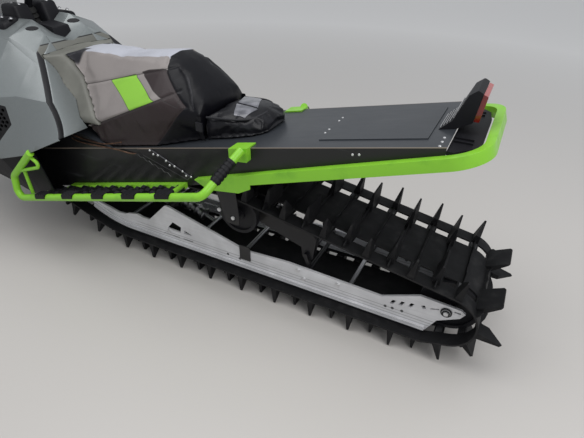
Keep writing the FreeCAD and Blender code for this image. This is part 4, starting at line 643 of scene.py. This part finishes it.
def seat_vinyl():
    """Grained vinyl in panels: pale top, grey sides, lime flash, dark lower panel, black tail."""
    f = Finish("seat_panels", SEAT_SIDE, 0.48, Specular_IOR_Level=0.22)
    top = (f.z - TOP_FROM).step(0.0, 0.001) * (1.0 - abs(f.y).step(TOP_HALF, TOP_HALF + 0.002))
    colour = f.mix(top, SEAT_SIDE, SEAT_TOP)
    colour = f.mix(side_patch(f, DARK_PATCH), colour, SEAT_DARK)
    colour = f.mix(side_patch(f, LIME_PATCH), colour, SEAT_LIME)
    colour = f.mix(side_patch(f, STRIPE_PATCH), colour, SEAT_SIDE)
    low = side_patch(f, LOW_PATCH)
    colour = f.mix(low, colour, SEAT_DARK)
    seams = seam_line(f, *SIDE_SEAM)
    for outline in (LIME_PATCH, DARK_PATCH, LOW_PATCH):
        seams = seams.most(seam_path(f, outline + outline[:1]))
    seams = seams * (1.0 - top)
    tail = side_patch(f, REAR_PATCH).most(side_patch(f, UNDER_PATCH))
    fold_and_highlight = seam_path(f, REAR_FOLD, 0.003) * (abs(f.y) - 0.07).step(0.0, 0.02)
    worn = f.noise(11.0, 5.0).step(0.45, 0.75) * 0.14
    colour = f.mix((seams * 0.75 + worn).least(1.0), colour, (0.03, 0.027, 0.027))
    colour = f.mix(tail, colour, SEAT_REAR)
    # painted highlight: the black tail is coloured lighter along the rear fold, which is also raised in the
    # bump
    colour = f.mix(fold_and_highlight * 0.5, colour, (0.04, 0.04, 0.046))
    # painted shade: a hollow in the seat's top is coloured dark
    hollow_shade = plan_patch(f, HOLLOW_SHADE_PATCH, 0.004) * (f.z - 0.77).step(0.0, 0.02)
    f.colour(f.mix(hollow_shade, colour, (0.02, 0.02, 0.024)))
    f.rough(0.34 + 0.16 * f.noise(20.0) - 0.08 * low)
    creases = f.noise(16.0, 4.0) * tail
    f.bump(f.cells(620.0) * 0.25 - seams * (1.0 - tail) + fold_and_highlight + creases * 0.9, 0.5, 0.0016)
    return f


def black_vinyl(name, gloss, ridges):
    """Black grained vinyl with slow creases."""
    f = Finish(name, (0.008, 0.008, 0.011), gloss,
               Coat_Weight=0.12, Coat_Roughness=0.14, Specular_IOR_Level=0.25)
    creases = f.noise(16.0, 4.0)
    f.colour(f.mix(creases.step(0.5, 0.8), (0.004, 0.004, 0.006), (0.014, 0.014, 0.018)))
    f.rough(gloss + 0.18 * creases)
    return f.bump(f.cells(620.0) * 0.2 + creases * ridges, 0.5, 0.0016)


# %% Cushions
def reshape(piece, change):
    """Runs a change on a piece's mesh as a bmesh."""
    shape = bmesh.new()
    shape.from_mesh(piece.data)
    shape.normal_update()
    change(shape)
    shape.to_mesh(piece.data)
    shape.free()


def draw_in(shape, depth):
    """Moves every vertex inwards along its normal."""
    for vert in shape.verts:
        vert.co -= vert.normal * depth


def relax(shape, verts, rounds=1):
    """Moves vertices towards the middle of their neighbours."""
    for _ in range(rounds):
        bmesh.ops.smooth_vert(
            shape, verts=verts, factor=0.5, use_axis_x=True, use_axis_y=True, use_axis_z=True)


SEAM_FACING = 0.25         # seams are pressed only where the surface looks to the side
SEAM_DEPTH, SEAM_REACH = 0.004, 9.0        # in metres, and in millimetres like the seams' points
CLOTH_FRAMES = 20


def pull_seams(shape, seams, depth, reach):
    """Presses a groove along chains of (station, height) points of the side view."""
    for vert in shape.verts:
        if abs(vert.normal.y) < SEAM_FACING:
            continue
        here = Vector(((vert.co.x + MIDDLE) * 1000, vert.co.z * 1000))
        near = reach
        for chain in seams:
            for start, end in zip(chain, chain[1:]):
                a, b = Vector(start), Vector(end)
                share = min(1.0, max(0.0, (here - a).dot(b - a) / (b - a).length_squared))
                near = min(near, (here - a - (b - a) * share).length)
        vert.co -= vert.normal * depth * (1.0 - near / reach) ** 2


def cushion(name, names, finish, shrink, voxel, cap, seams=()):
    """A padded piece from CAD solids: remeshed, drawn in, blown up within a cap, and rounded."""
    pad = make_piece(name, merged_copy(*names), finish)
    add_modifier(pad, "REMESH", mode="VOXEL", voxel_size=voxel)
    apply_modifiers(pad)
    reshape(pad, lambda shape: draw_in(shape, shrink))
    starts = [(v.co.copy(), v.normal.z) for v in pad.data.vertices]
    cloth = add_modifier(pad, "CLOTH")
    cloth.settings.use_pressure = True
    cloth.settings.uniform_pressure_force = 4.0
    cloth.settings.effector_weights.gravity = 0.0
    cloth.point_cache.frame_end = CLOTH_FRAMES
    for step in range(1, CLOTH_FRAMES + 1):
        bpy.context.scene.frame_set(step)
    apply_modifiers(pad)
    bpy.context.scene.frame_set(1)

    def hold(shape):
        """Caps how far each point has moved, and keeps the underside where it stands on the tunnel."""
        for vert, (first, upward) in zip(shape.verts, starts):
            move = vert.co - first
            room = cap if upward > -0.6 else 0.0
            if move.length > room:
                vert.co = first + move.normalized() * room
        relax(shape, shape.verts[:])

    reshape(pad, hold)
    add_modifier(pad, "SUBSURF", levels=1, render_levels=1)
    apply_modifiers(pad)
    if seams:
        reshape(pad, lambda shape: pull_seams(shape, seams, SEAM_DEPTH, SEAM_REACH))
    refinish(pad, finish)
    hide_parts(*names)
    print(name, "vertices", len(pad.data.vertices))
    return pad


SEAT_SEAMS = (
    SIDE_SEAM, LOW_PATCH[:2], REAR_FOLD,
    ((1100, 870), (1085, 837), (1072, 811), (976, 718), (1089, 583)),
)
cushion("seat_cushion", ("seat_front", "seat_rear"), seat_vinyl(),
        shrink=0.004, voxel=0.007, cap=0.008, seams=SEAT_SEAMS)
bag = cushion("tail_bag", ("seat_bag",), black_vinyl("bag_vinyl", 0.3, 1.2),
              shrink=0.005, voxel=0.005, cap=0.012)

# %% [markdown]
# ## The tank cover
# In front of the seat a moulded cover goes over the fuel tank. It has no hard fold anywhere: its sides
# roll over into its top. A bevel would leave flats between its folds, so here the CAD wedge is remeshed
# evenly and smoothed a few times, all but the edge that has to meet the knee panels.

# %% Tank cover
KNEE_LOW, KNEE_HIGH = Vector((1430.0, 573.0)), Vector((1630.0, 824.0))
KNEE_WAY = (KNEE_HIGH - KNEE_LOW).normalized()
KNEE_FACE = Vector((-KNEE_WAY.y, KNEE_WAY.x))
HELD = 7.0                 # the edge that is held reaches this far behind the knee panels' line


def soften_cover(shape):
    """Smooths the cover but holds its edge along the knee panels."""
    loose = []
    for vert in shape.verts:
        here = Vector(((vert.co.x + MIDDLE) * 1000, vert.co.z * 1000))
        if (here - KNEE_LOW).dot(KNEE_FACE) > HELD:
            loose.append(vert)
    relax(shape, loose, 16)


cover = make_piece("tank_cover", merged_copy("console"), FINISHES["console_khaki"])
add_modifier(cover, "REMESH", mode="VOXEL", voxel_size=0.004)
apply_modifiers(cover)
reshape(cover, soften_cover)
refinish(cover, FINISHES["console_khaki"])
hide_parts("console")
print("tank cover vertices", len(cover.data.vertices))

# %% [markdown]
# ## Dash, hood plugs and steering boot
# Between the hood and the bar such a machine has a black cowl with a rubber boot round the post. The
# cowl could be cut from one block, but then the slot for the post has sharp ends. Here each half is two
# cubes, tapered, bevelled and mirrored, so the post turns freely in the gap between the halves. The boot
# is a folded profile spun round the post's own axis, so it looks the same at every turn of the bar.

# %% Dash cowl
BLOCK_SIZE, BLOCK_MIDDLE = (0.12, 0.078, 0.085), at(1850, 62, 925)     # the raised half by the post
WING_SIZE, WING_MIDDLE = (0.15, 0.075, 0.05), at(1872, 133, 905)       # the low half beside it
BLOCK_INNER, WING_OUTER = 0.06, 0.15
shape = bmesh.new()
for vert in add_block(shape, BLOCK_SIZE, Matrix.Translation(BLOCK_MIDDLE)):
    if vert.co.z > BLOCK_MIDDLE.z:
        vert.co.x = (vert.co.x + 0.012 - BLOCK_MIDDLE.x) * 0.7 + BLOCK_MIDDLE.x
        vert.co.y = (vert.co.y - BLOCK_INNER) * 0.85 + BLOCK_INNER
for vert in add_block(shape, WING_SIZE, Matrix.Translation(WING_MIDDLE)):
    if vert.co.y > WING_OUTER:
        vert.co.z -= 0.018
bmesh.ops.bevel(
    shape, geom=shape.edges[:], offset=0.014, segments=3, profile=0.5, affect="EDGES", material=-1)
tops = [face for face in shape.faces if abs(face.normal.z) > 0.9 and face.calc_area() > 0.003]
bmesh.ops.inset_individual(shape, faces=tops, thickness=0.012, depth=-0.005)
bmesh.ops.mirror(
    shape, geom=shape.verts[:] + shape.edges[:] + shape.faces[:], axis="Y", merge_dist=0.0)
make_piece("dash_cowl", shape, FINISHES["belly_black"])

# %% Dash bolts
DASH_BOLTS = ((1828, 62, 964), (1872, 62, 964), (1850, 132, 926), (1800, 130, 924))
shape = bmesh.new()
for station, y, height in both_sides(DASH_BOLTS):
    add_button(shape, at(station, y, height), (0, 0, 1), 0.008, 0.004, 16)
    add_button(shape, at(station, y, height + 3), (0, 0, 1), 0.0042, 0.004, 6)
make_piece("dash_bolts", shape, FINISHES["bare_steel"])

# %% Plugs in the hood
PLUG_STATION, PLUG_SIDES = 1714, (114, -78)
hood = bpy.data.objects["hood_panel"]
shape = bmesh.new()
for y in PLUG_SIDES:
    _, place, normal, _ = hood.ray_cast(at(PLUG_STATION, y, 1150), Vector((0.0, 0.0, -1.0)))
    made = bmesh.ops.create_cone(
        shape, cap_ends=True, segments=24, radius1=0.5, radius2=0.42, depth=1.0)["verts"]
    bmesh.ops.scale(shape, vec=(0.05, 0.024, 0.003), verts=made)
    bmesh.ops.transform(shape, matrix=Matrix.Translation(place) @ facing(normal), verts=made)
make_piece("hood_plugs", shape, FINISHES["belly_black"])

# %% Steering boot
POST_LEAN = math.radians(27.0)
POST_AXIS = Vector((-math.sin(POST_LEAN), 0.0, math.cos(POST_LEAN)))
BOOT_FOOT = at(1990, 0, 700) + POST_AXIS * 0.215       # from the post's foot, along its axis
BOOT = ((0.062, 0.0), (0.064, 0.006), (0.048, 0.014), (0.052, 0.022), (0.038, 0.03), (0.042, 0.038),
        (0.029, 0.046), (0.031, 0.053), (0.022, 0.062), (0.0165, 0.068), (0.0165, 0.0))
shape = bmesh.new()
ring = [shape.verts.new((radius, 0.0, height)) for radius, height in BOOT]
edges = [shape.edges.new((a, b)) for a, b in zip(ring, ring[1:] + ring[:1])]
bmesh.ops.spin(
    shape, geom=ring + edges, cent=(0, 0, 0), axis=(0, 0, 1), angle=2 * math.pi, steps=32,
    use_merge=True)
bmesh.ops.remove_doubles(shape, verts=shape.verts[:], dist=WELD)
bmesh.ops.transform(
    shape, matrix=Matrix.Translation(BOOT_FOOT) @ facing(POST_AXIS), verts=shape.verts[:])
make_piece("steering_boot", shape, FINISHES["grip_rubber"], sharp=math.radians(60))

# %% [markdown]
# ## Bag lid, welt and straps
# The bag behind the seat is a soft lidded box of glossy vinyl. Its lid has two stiff panels, painted grey
# and mottled as a painted sheen on their glossy vinyl, a thick welt runs round it, and a strap with a
# buckle holds it on each side. A panel could be a mask on the bag's finish, but its raised edge would not
# catch the light. So each panel is a small grid over the bag's plan: Shrinkwrap drops it on the blown-up
# bag, and Solidify gives it its thickness.

# %% Lid panels
LID_PANELS = (
    ("lid_panel", ((822, -98), (768, 24), (858, 10), (896, -98))),
    ("lid_front_panel", ((764, 32), (780, 92), (824, 92), (858, 20))),
)
ABOVE_BAG = 790
LID_BOW = 0.72             # how far a panel bows sideways along its length, in millimetres


def corner_mix(corners, u, v):
    """The place inside four corners at two shares from 0 to 1."""
    a, b, c, d = [Vector(corner) for corner in corners]
    return a.lerp(b, u).lerp(d.lerp(c, u), v)


lid_painted_sheen = Finish("lid_painted_sheen", (0.12, 0.122, 0.14), 0.22, Coat_Weight=0.6, Coat_Roughness=0.12)
# painted sheen: the lid's glossy vinyl is coloured grey and mottled from darker to lighter
lid_painted_sheen.colour(lid_painted_sheen.mix(
    lid_painted_sheen.noise(24.0, 5.0).step(0.35, 0.75), (0.06, 0.062, 0.075), (0.2, 0.2, 0.225)))
lid_painted_sheen.rough(0.2 + 0.2 * lid_painted_sheen.noise(30.0, 4.0))
lid_painted_sheen.bump(lid_painted_sheen.cells(620.0) * 0.2 + lid_painted_sheen.noise(26.0, 4.0), 0.4, 0.0012)
for name, corners in LID_PANELS:
    shape = bmesh.new()
    bmesh.ops.create_grid(shape, x_segments=14, y_segments=14, size=1.0)
    for vert in shape.verts:
        u, v = vert.co.x / 2 + 0.5, vert.co.y / 2 + 0.5
        plan = corner_mix(corners, u, v)
        vert.co = at(plan.x, plan.y + LID_BOW * math.sin(math.pi * v), ABOVE_BAG)
    panel = make_piece(name, shape, lid_painted_sheen)
    add_modifier(panel, "SHRINKWRAP", target=bag, wrap_method="PROJECT", use_project_z=True,
                 use_negative_direction=True, use_positive_direction=False, offset=0.003)
    add_modifier(panel, "SOLIDIFY", thickness=0.004, offset=1.0)
    add_modifier(panel, "BEVEL", width=0.0015, segments=2)
    apply_modifiers(panel)
    panel.data.shade_smooth()
    panel.data.set_sharp_from_angle(angle=math.radians(50))
    heights = [vert.co.z for vert in panel.data.vertices]
    print(name, "lowest", round(min(heights), 4), "highest", round(max(heights), 4))

# %% Welt and straps
BAG_WELT = ((915, 122, 684), (880, 122, 688), (835, 118, 690), (790, 108, 692), (756, 84, 694),
            (738, 40, 699), (740, -20, 701), (762, -72, 700), (810, -108, 694), (860, -120, 688),
            (915, -122, 684))
tube_piece("bag_welt", BAG_WELT, 0.004, FINISHES["bag_black"])
STRAP = ((934, 141, 690), (930, 147, 662), (926, 146, 634), (922, 140, 606))
STRAP_HALF = Vector((0.009, 0.0, 0.0))
shape = bmesh.new()
for y_side in (1, -1):
    line = [at(station, y_side * y, height) for station, y, height in STRAP]
    front = [shape.verts.new(place + STRAP_HALF) for place in line]
    back = [shape.verts.new(place - STRAP_HALF) for place in line]
    for i in range(len(line) - 1):
        shape.faces.new((front[i], front[i + 1], back[i + 1], back[i]))
bmesh.ops.solidify(shape, geom=shape.faces[:], thickness=0.003)
for y_side in (1, -1):
    add_block(shape, (0.026, 0.007, 0.03), Matrix.Translation(at(930, y_side * 148, 656)))
make_piece("bag_strap", shape, FINISHES["bag_black"])

# %% [markdown]
# ## Rubber ribs across the track
# Beside its tall paddles the belt carries a low rib across every row, moulded in the same rubber, with a
# wavy top, and steel clips on the bars between its windows. An array along a curve would drift from the
# CAD belt, which runs over five circles. So each row's place is worked out from the straight runs
# between those circles and the arcs on them, in the same way as the CAD belt.

# %% Places along the belt
BELT_CIRCLES = ((16, 200, 102), (80, 106, 30), (1360, 594, 518), (1800, 306, 106), (785, 354, 85))
FIRST_ROW = 112.4          # distance of the first row along the belt, in millimetres
ROW_PITCH = 76.2


def belt_legs():
    """The belt as (length, station, height, radius, heading) legs; a straight run has radius 0."""
    headings = []
    for (x0, z0, r0), (x1, z1, r1) in zip(BELT_CIRCLES, BELT_CIRCLES[1:] + BELT_CIRCLES[:1]):
        gap = math.hypot(x1 - x0, z1 - z0)
        headings.append(math.atan2(z1 - z0, x1 - x0) + math.asin((r0 - r1) / gap))
    legs = []
    for i, heading in enumerate(headings):
        x0, z0, r0 = BELT_CIRCLES[i]
        x1, z1, r1 = BELT_CIRCLES[(i + 1) % len(BELT_CIRCLES)]
        start = (x0 + math.sin(heading) * r0, z0 - math.cos(heading) * r0)
        length = math.sqrt((x1 - x0) ** 2 + (z1 - z0) ** 2 - (r0 - r1) ** 2)
        legs.append((length, *start, 0, heading))
        turn = (headings[(i + 1) % len(headings)] - heading) % (2 * math.pi)
        legs.append((turn * r1, x1, z1, r1, heading))
    return legs


def belt_places():
    """Each paddle row as a matrix: its place on the belt's outer face, turned with Z outwards."""
    legs = belt_legs()
    total = sum(leg[0] for leg in legs)
    rows = 2 * round(total / ROW_PITCH / 2)
    places = []
    for i in range(rows):
        distance = (FIRST_ROW + total * i / rows) % total
        for length, x, z, radius, heading in legs:
            if distance <= length:
                break
            distance -= length
        if radius:
            heading += distance / radius
            x, z = x + math.sin(heading) * radius, z - math.cos(heading) * radius
        else:
            x, z = x + math.cos(heading) * distance, z + math.sin(heading) * distance
        along = Vector((math.cos(heading), 0.0, math.sin(heading)))
        outward = Vector((math.sin(heading), 0.0, -math.cos(heading)))
        turn = Matrix((along, outward.cross(along), outward)).transposed().to_4x4()
        places.append(Matrix.Translation(at(x, 0.0, z)) @ turn)
    return places


rows = belt_places()
print("paddle rows:", len(rows))

# %% Ribs
RIB_TOPS = ((186, 9), (172, 20), (150, 17), (122, 7), (96, 16), (70, 21), (50, 12), (26, 9), (0, 14))
RIB_THICK, RIB_TAPER = 0.006, 0.55


def add_rib(shape, place):
    """One low rib: a strip whose top follows the moulded waves, in the row's own frame."""
    outline = [(y, h) for y, h in RIB_TOPS] + [(-y, h) for y, h in reversed(RIB_TOPS[:-1])]
    base = [shape.verts.new((-RIB_THICK / 2, y / 1000, -0.001)) for y, _ in outline]
    top = [shape.verts.new((-RIB_THICK / 2, y / 1000, h / 1000)) for y, h in outline]
    faces = [shape.faces.new((base[i], base[i + 1], top[i + 1], top[i]))
             for i in range(len(outline) - 1)]
    grown = bmesh.ops.extrude_face_region(shape, geom=faces)
    moved = [v for v in grown["geom"] if isinstance(v, bmesh.types.BMVert)]
    bmesh.ops.translate(shape, verts=moved, vec=(RIB_THICK, 0.0, 0.0))
    for vert in base + top + moved:
        if vert.co.z > 0.0:
            vert.co.x *= RIB_TAPER
    bmesh.ops.transform(shape, matrix=place, verts=base + top + moved)


shape = bmesh.new()
for place in rows:
    add_rib(shape, place)
make_piece("track_ribs", shape, FINISHES["track_rubber"], sharp=math.radians(50))

# %% Steel clips between the windows
WINDOW_ROW = 0.121         # side distance of the windows
CLIP_SIZE = (0.021, 0.03, 0.0082)
shape = bmesh.new()
for place in rows:
    for y_side in (1, -1):
        add_block(shape, CLIP_SIZE, place @ Matrix.Translation((0.0, y_side * WINDOW_ROW, -0.0033)))
clip_steel = Finish("clip_steel", (0.1, 0.1, 0.105), 0.5, Metallic=0.7)
clip_steel.rough(0.4 + 0.25 * clip_steel.noise(90.0))
clip_steel.colour(clip_steel.mix(
    clip_steel.noise(30.0, 4.0).step(0.4, 0.7), (0.05, 0.05, 0.052), (0.14, 0.14, 0.145)))
make_piece("window_clips", shape, clip_steel)

# %% [markdown]
# ## Rivets on the tunnel
# Fasteners are what the eye reads as a real machine. They could be small bumps in a material, but those
# vanish at the outline and from the mesh. A rivet is a low cone with a cut top and a bolt has six sides.
# Each group is one mesh, from a list of places that is mirrored to the other side.

# %% Tunnel rivets
zinc = Finish("zinc", (0.62, 0.62, 0.63), 0.35, Metallic=0.6)
zinc.rough(0.3 + 0.2 * zinc.noise(200.0))
STRAP_RIVETS = ((1121, 551), (1086, 539), (1051, 525), (1015, 512), (981, 500), (945, 487),
                (1107, 539), (1037, 511), (967, 486))
SIDE_RIVETS = ((359, 701), (340, 705))
DECK_RIVETS = ((496, 42), (496, 74), (135, 130), (135, 160), (135, 190))
DECK_NORMAL = (0.2097, 0.0, 0.9778)


def deck_height(station):
    """Height of the tunnel's sloping top at a station."""
    (x0, z0), (x1, z1) = DECK_LINE
    return z0 + (z1 - z0) * (station - x0) / (x1 - x0)


shape = bmesh.new()
add_heads(shape, [(x, 204.9, z) for x, z in STRAP_RIVETS], (0.0042, 0.0022, 12, 0.75))
add_heads(shape, [(x, 199.9, z) for x, z in SIDE_RIVETS], (0.004, 0.002, 12, 0.75))
for station, y, height in both_sides([(x, y, deck_height(x) - 0.1) for x, y in DECK_RIVETS]):
    add_button(shape, at(station, y, height), DECK_NORMAL, 0.0042, 0.002)
make_piece("tunnel_rivets", shape, zinc)

# %% [markdown]
# ## Strap edge and coolant pipes
# On each side of the tunnel the black strap has a wavy edge, and two thin pipes come out from under the
# knee panel. A pipe is a smooth curve with a round section: a few points along it are enough, and the curve
# becomes a mesh at once, like every other piece.

# %% Strap edge and pipes
WAVES = 12
SCALLOP = [(1199 - 161 * i / WAVES, 206.5, 525 - 53 * i / WAVES + (6 if i % 2 else -6))
           for i in range(WAVES + 1)]
UPPER_PIPE = ((1560, 200, 534), (1527, 203, 530), (1441, 203, 522),
              (1364, 203, 524), (1299, 203, 540), (1262, 200, 552))
LOWER_PIPE = ((1540, 200, 514), (1506, 206, 507), (1394, 206, 512),
              (1287, 206, 520), (1213, 206, 516), (1196, 200, 520))
copper = Finish("copper_pipe", (0.3, 0.15, 0.085), 0.38, Metallic=0.75)
copper.colour(copper.mix(
    copper.noise(60.0, 4.0).step(0.35, 0.7), (0.1, 0.058, 0.04), (0.24, 0.135, 0.09)))
TUBES = (
    ("scallop_edge", SCALLOP, 0.0012, clip_steel),
    ("upper_pipe", UPPER_PIPE, 0.0027, copper),
    ("lower_pipe", LOWER_PIPE, 0.0027, copper),
)
SIDES = (("left", 1), ("right", -1))
for side, y_side in SIDES:
    for name, path, radius, finish in TUBES:
        points = [(x, y_side * y, z) for x, y, z in path]
        tube_piece(f"{name}_{side}", points, radius, finish, sides=2)

# %% [markdown]
# ## Louvres, bolts and studs
# Thin blades stand across the front of the tail light's housing. The rails and the rear axle are held by
# bolts with washers, and the side panels by flat studs. All are rigid and small, so each is a plain block
# or button set on its surface. A stud's place is found by a ray from the side.

# %% Louvres of the tail light
# station, height and tilt in degrees of each blade
LOUVRE_BLADES = ((159, 768, 70), (152, 775, 70), (145, 782, 70), (138, 789, 70),
                 (130, 800, 45), (127, 811, 45), (123, 822, 45))
BLADE_SIZE = (0.007, 0.118, 0.0014)
shape = bmesh.new()
for station, height, tilt in LOUVRE_BLADES:
    turn = Matrix.Rotation(math.radians(-tilt), 4, "Y")
    add_block(shape, BLADE_SIZE, Matrix.Translation(at(station, 0, height)) @ turn)
make_piece("light_louvres", shape, zinc)

# %% Rail bolts
RAIL_BOLTS = ((547, 144.9, 169), (524, 144.9, 136), (389, 144.9, 164), (1155, 144.9, 150))
AXLE_END = ((16, 149.2, 200),)
HANGER_BOLTS = ((783, 196.9, 358), (840, 196.9, 378))
shape = bmesh.new()
add_heads(shape, RAIL_BOLTS, (0.0095, 0.0015, 16, 0.9), (0.0065, 0.005, 6, 0.92))
add_heads(shape, AXLE_END, (0.014, 0.002, 24, 0.95), (0.009, 0.006, 6, 0.92))
add_heads(shape, HANGER_BOLTS, (0.008, 0.005, 6, 0.92))
make_piece("rail_bolts", shape, zinc)

# %% Studs of the side panels
STUD_PLACES = ((1900, 640), (2180, 640), (2400, 610), (1760, 760), (2050, 700))
shape = bmesh.new()
for side, y_side in SIDES:
    panel = bpy.data.objects[f"side_panel_{side}_panel"]
    inwards = Vector((0.0, -y_side, 0.0))
    for station, height in STUD_PLACES:
        found, place, normal, _ = panel.ray_cast(at(station, y_side * 700, height), inwards)
        if found:
            add_button(shape, place - normal * 0.0005, normal, 0.011, 0.0025, 20, 0.85)
            add_button(shape, place + normal * 0.0015, normal, 0.006, 0.0025, 6, 0.9)
make_piece("panel_studs", shape, FINISHES["belly_black"])

# %% [markdown]
# ## Floor, backdrop and light
# A plain pale floor with a soft sheen takes the machine's shadow. Away from the machine the floor is
# painted paler, painted light where the lamps fall off, so that it ends in a bright backdrop without a
# wall. The world is an even cool white at half strength. One lamp alone would leave hard shadows, so a wide
# ceiling lamp and a window lamp share the light.

# %% Floor and backdrop
FLOOR_HALF = 14.0
shape = bmesh.new()
bmesh.ops.create_grid(shape, x_segments=2, y_segments=2, size=FLOOR_HALF)
floor_data = bpy.data.meshes.new("floor")
shape.to_mesh(floor_data)
shape.free()
floor = bpy.data.objects.new("floor", floor_data)
bpy.context.scene.collection.objects.link(floor)
floor_finish = Finish("floor", (0.5, 0.475, 0.45), 0.34)
away = floor_finish.x * floor_finish.x + floor_finish.y * floor_finish.y       # distance squared
# painted light: the floor is coloured paler away from the machine, where the lamps fall off
away = away.step(2.0, 30.0, smooth=False)
floor_finish.colour(floor_finish.mix(away, (0.56, 0.535, 0.51), (0.95, 0.93, 0.91)))
floor_data.materials.append(floor_finish.material)
print("floor", floor.dimensions[:])

# %% Lights
world = bpy.data.worlds.new("room")
bpy.context.scene.world = world
world.use_nodes = True
room = world.node_tree
room_light = room.nodes["Background"]
room_light.inputs["Color"].default_value = (0.93, 0.96, 1.0, 1.0)
room_light.inputs["Strength"].default_value = 0.5
LAMPS = (                      # name, place, size in metres, watts, target
    ("ceiling_lamp", (-0.2, 0.6, 3.4), (3.6, 2.2), 66.0, (0.0, 0.0, 0.0)),
    ("window_lamp", (-3.6, 1.4, 2.4), (2.4, 2.0), 46.0, (-0.6, 0.0, 0.3)),
)
for name, where, size, power, target in LAMPS:
    lamp_data = bpy.data.lights.new(name, "AREA")
    lamp_data.shape = "RECTANGLE"
    lamp_data.size, lamp_data.size_y = size
    lamp_data.energy = power
    lamp = bpy.data.objects.new(name, lamp_data)
    lamp.location = where
    lamp.rotation_euler = (Vector(target) - Vector(where)).to_track_quat("-Z", "Y").to_euler()
    bpy.context.scene.collection.objects.link(lamp)
bpy.context.scene.view_settings.view_transform = "Standard"
print("lamps:", len(LAMPS))
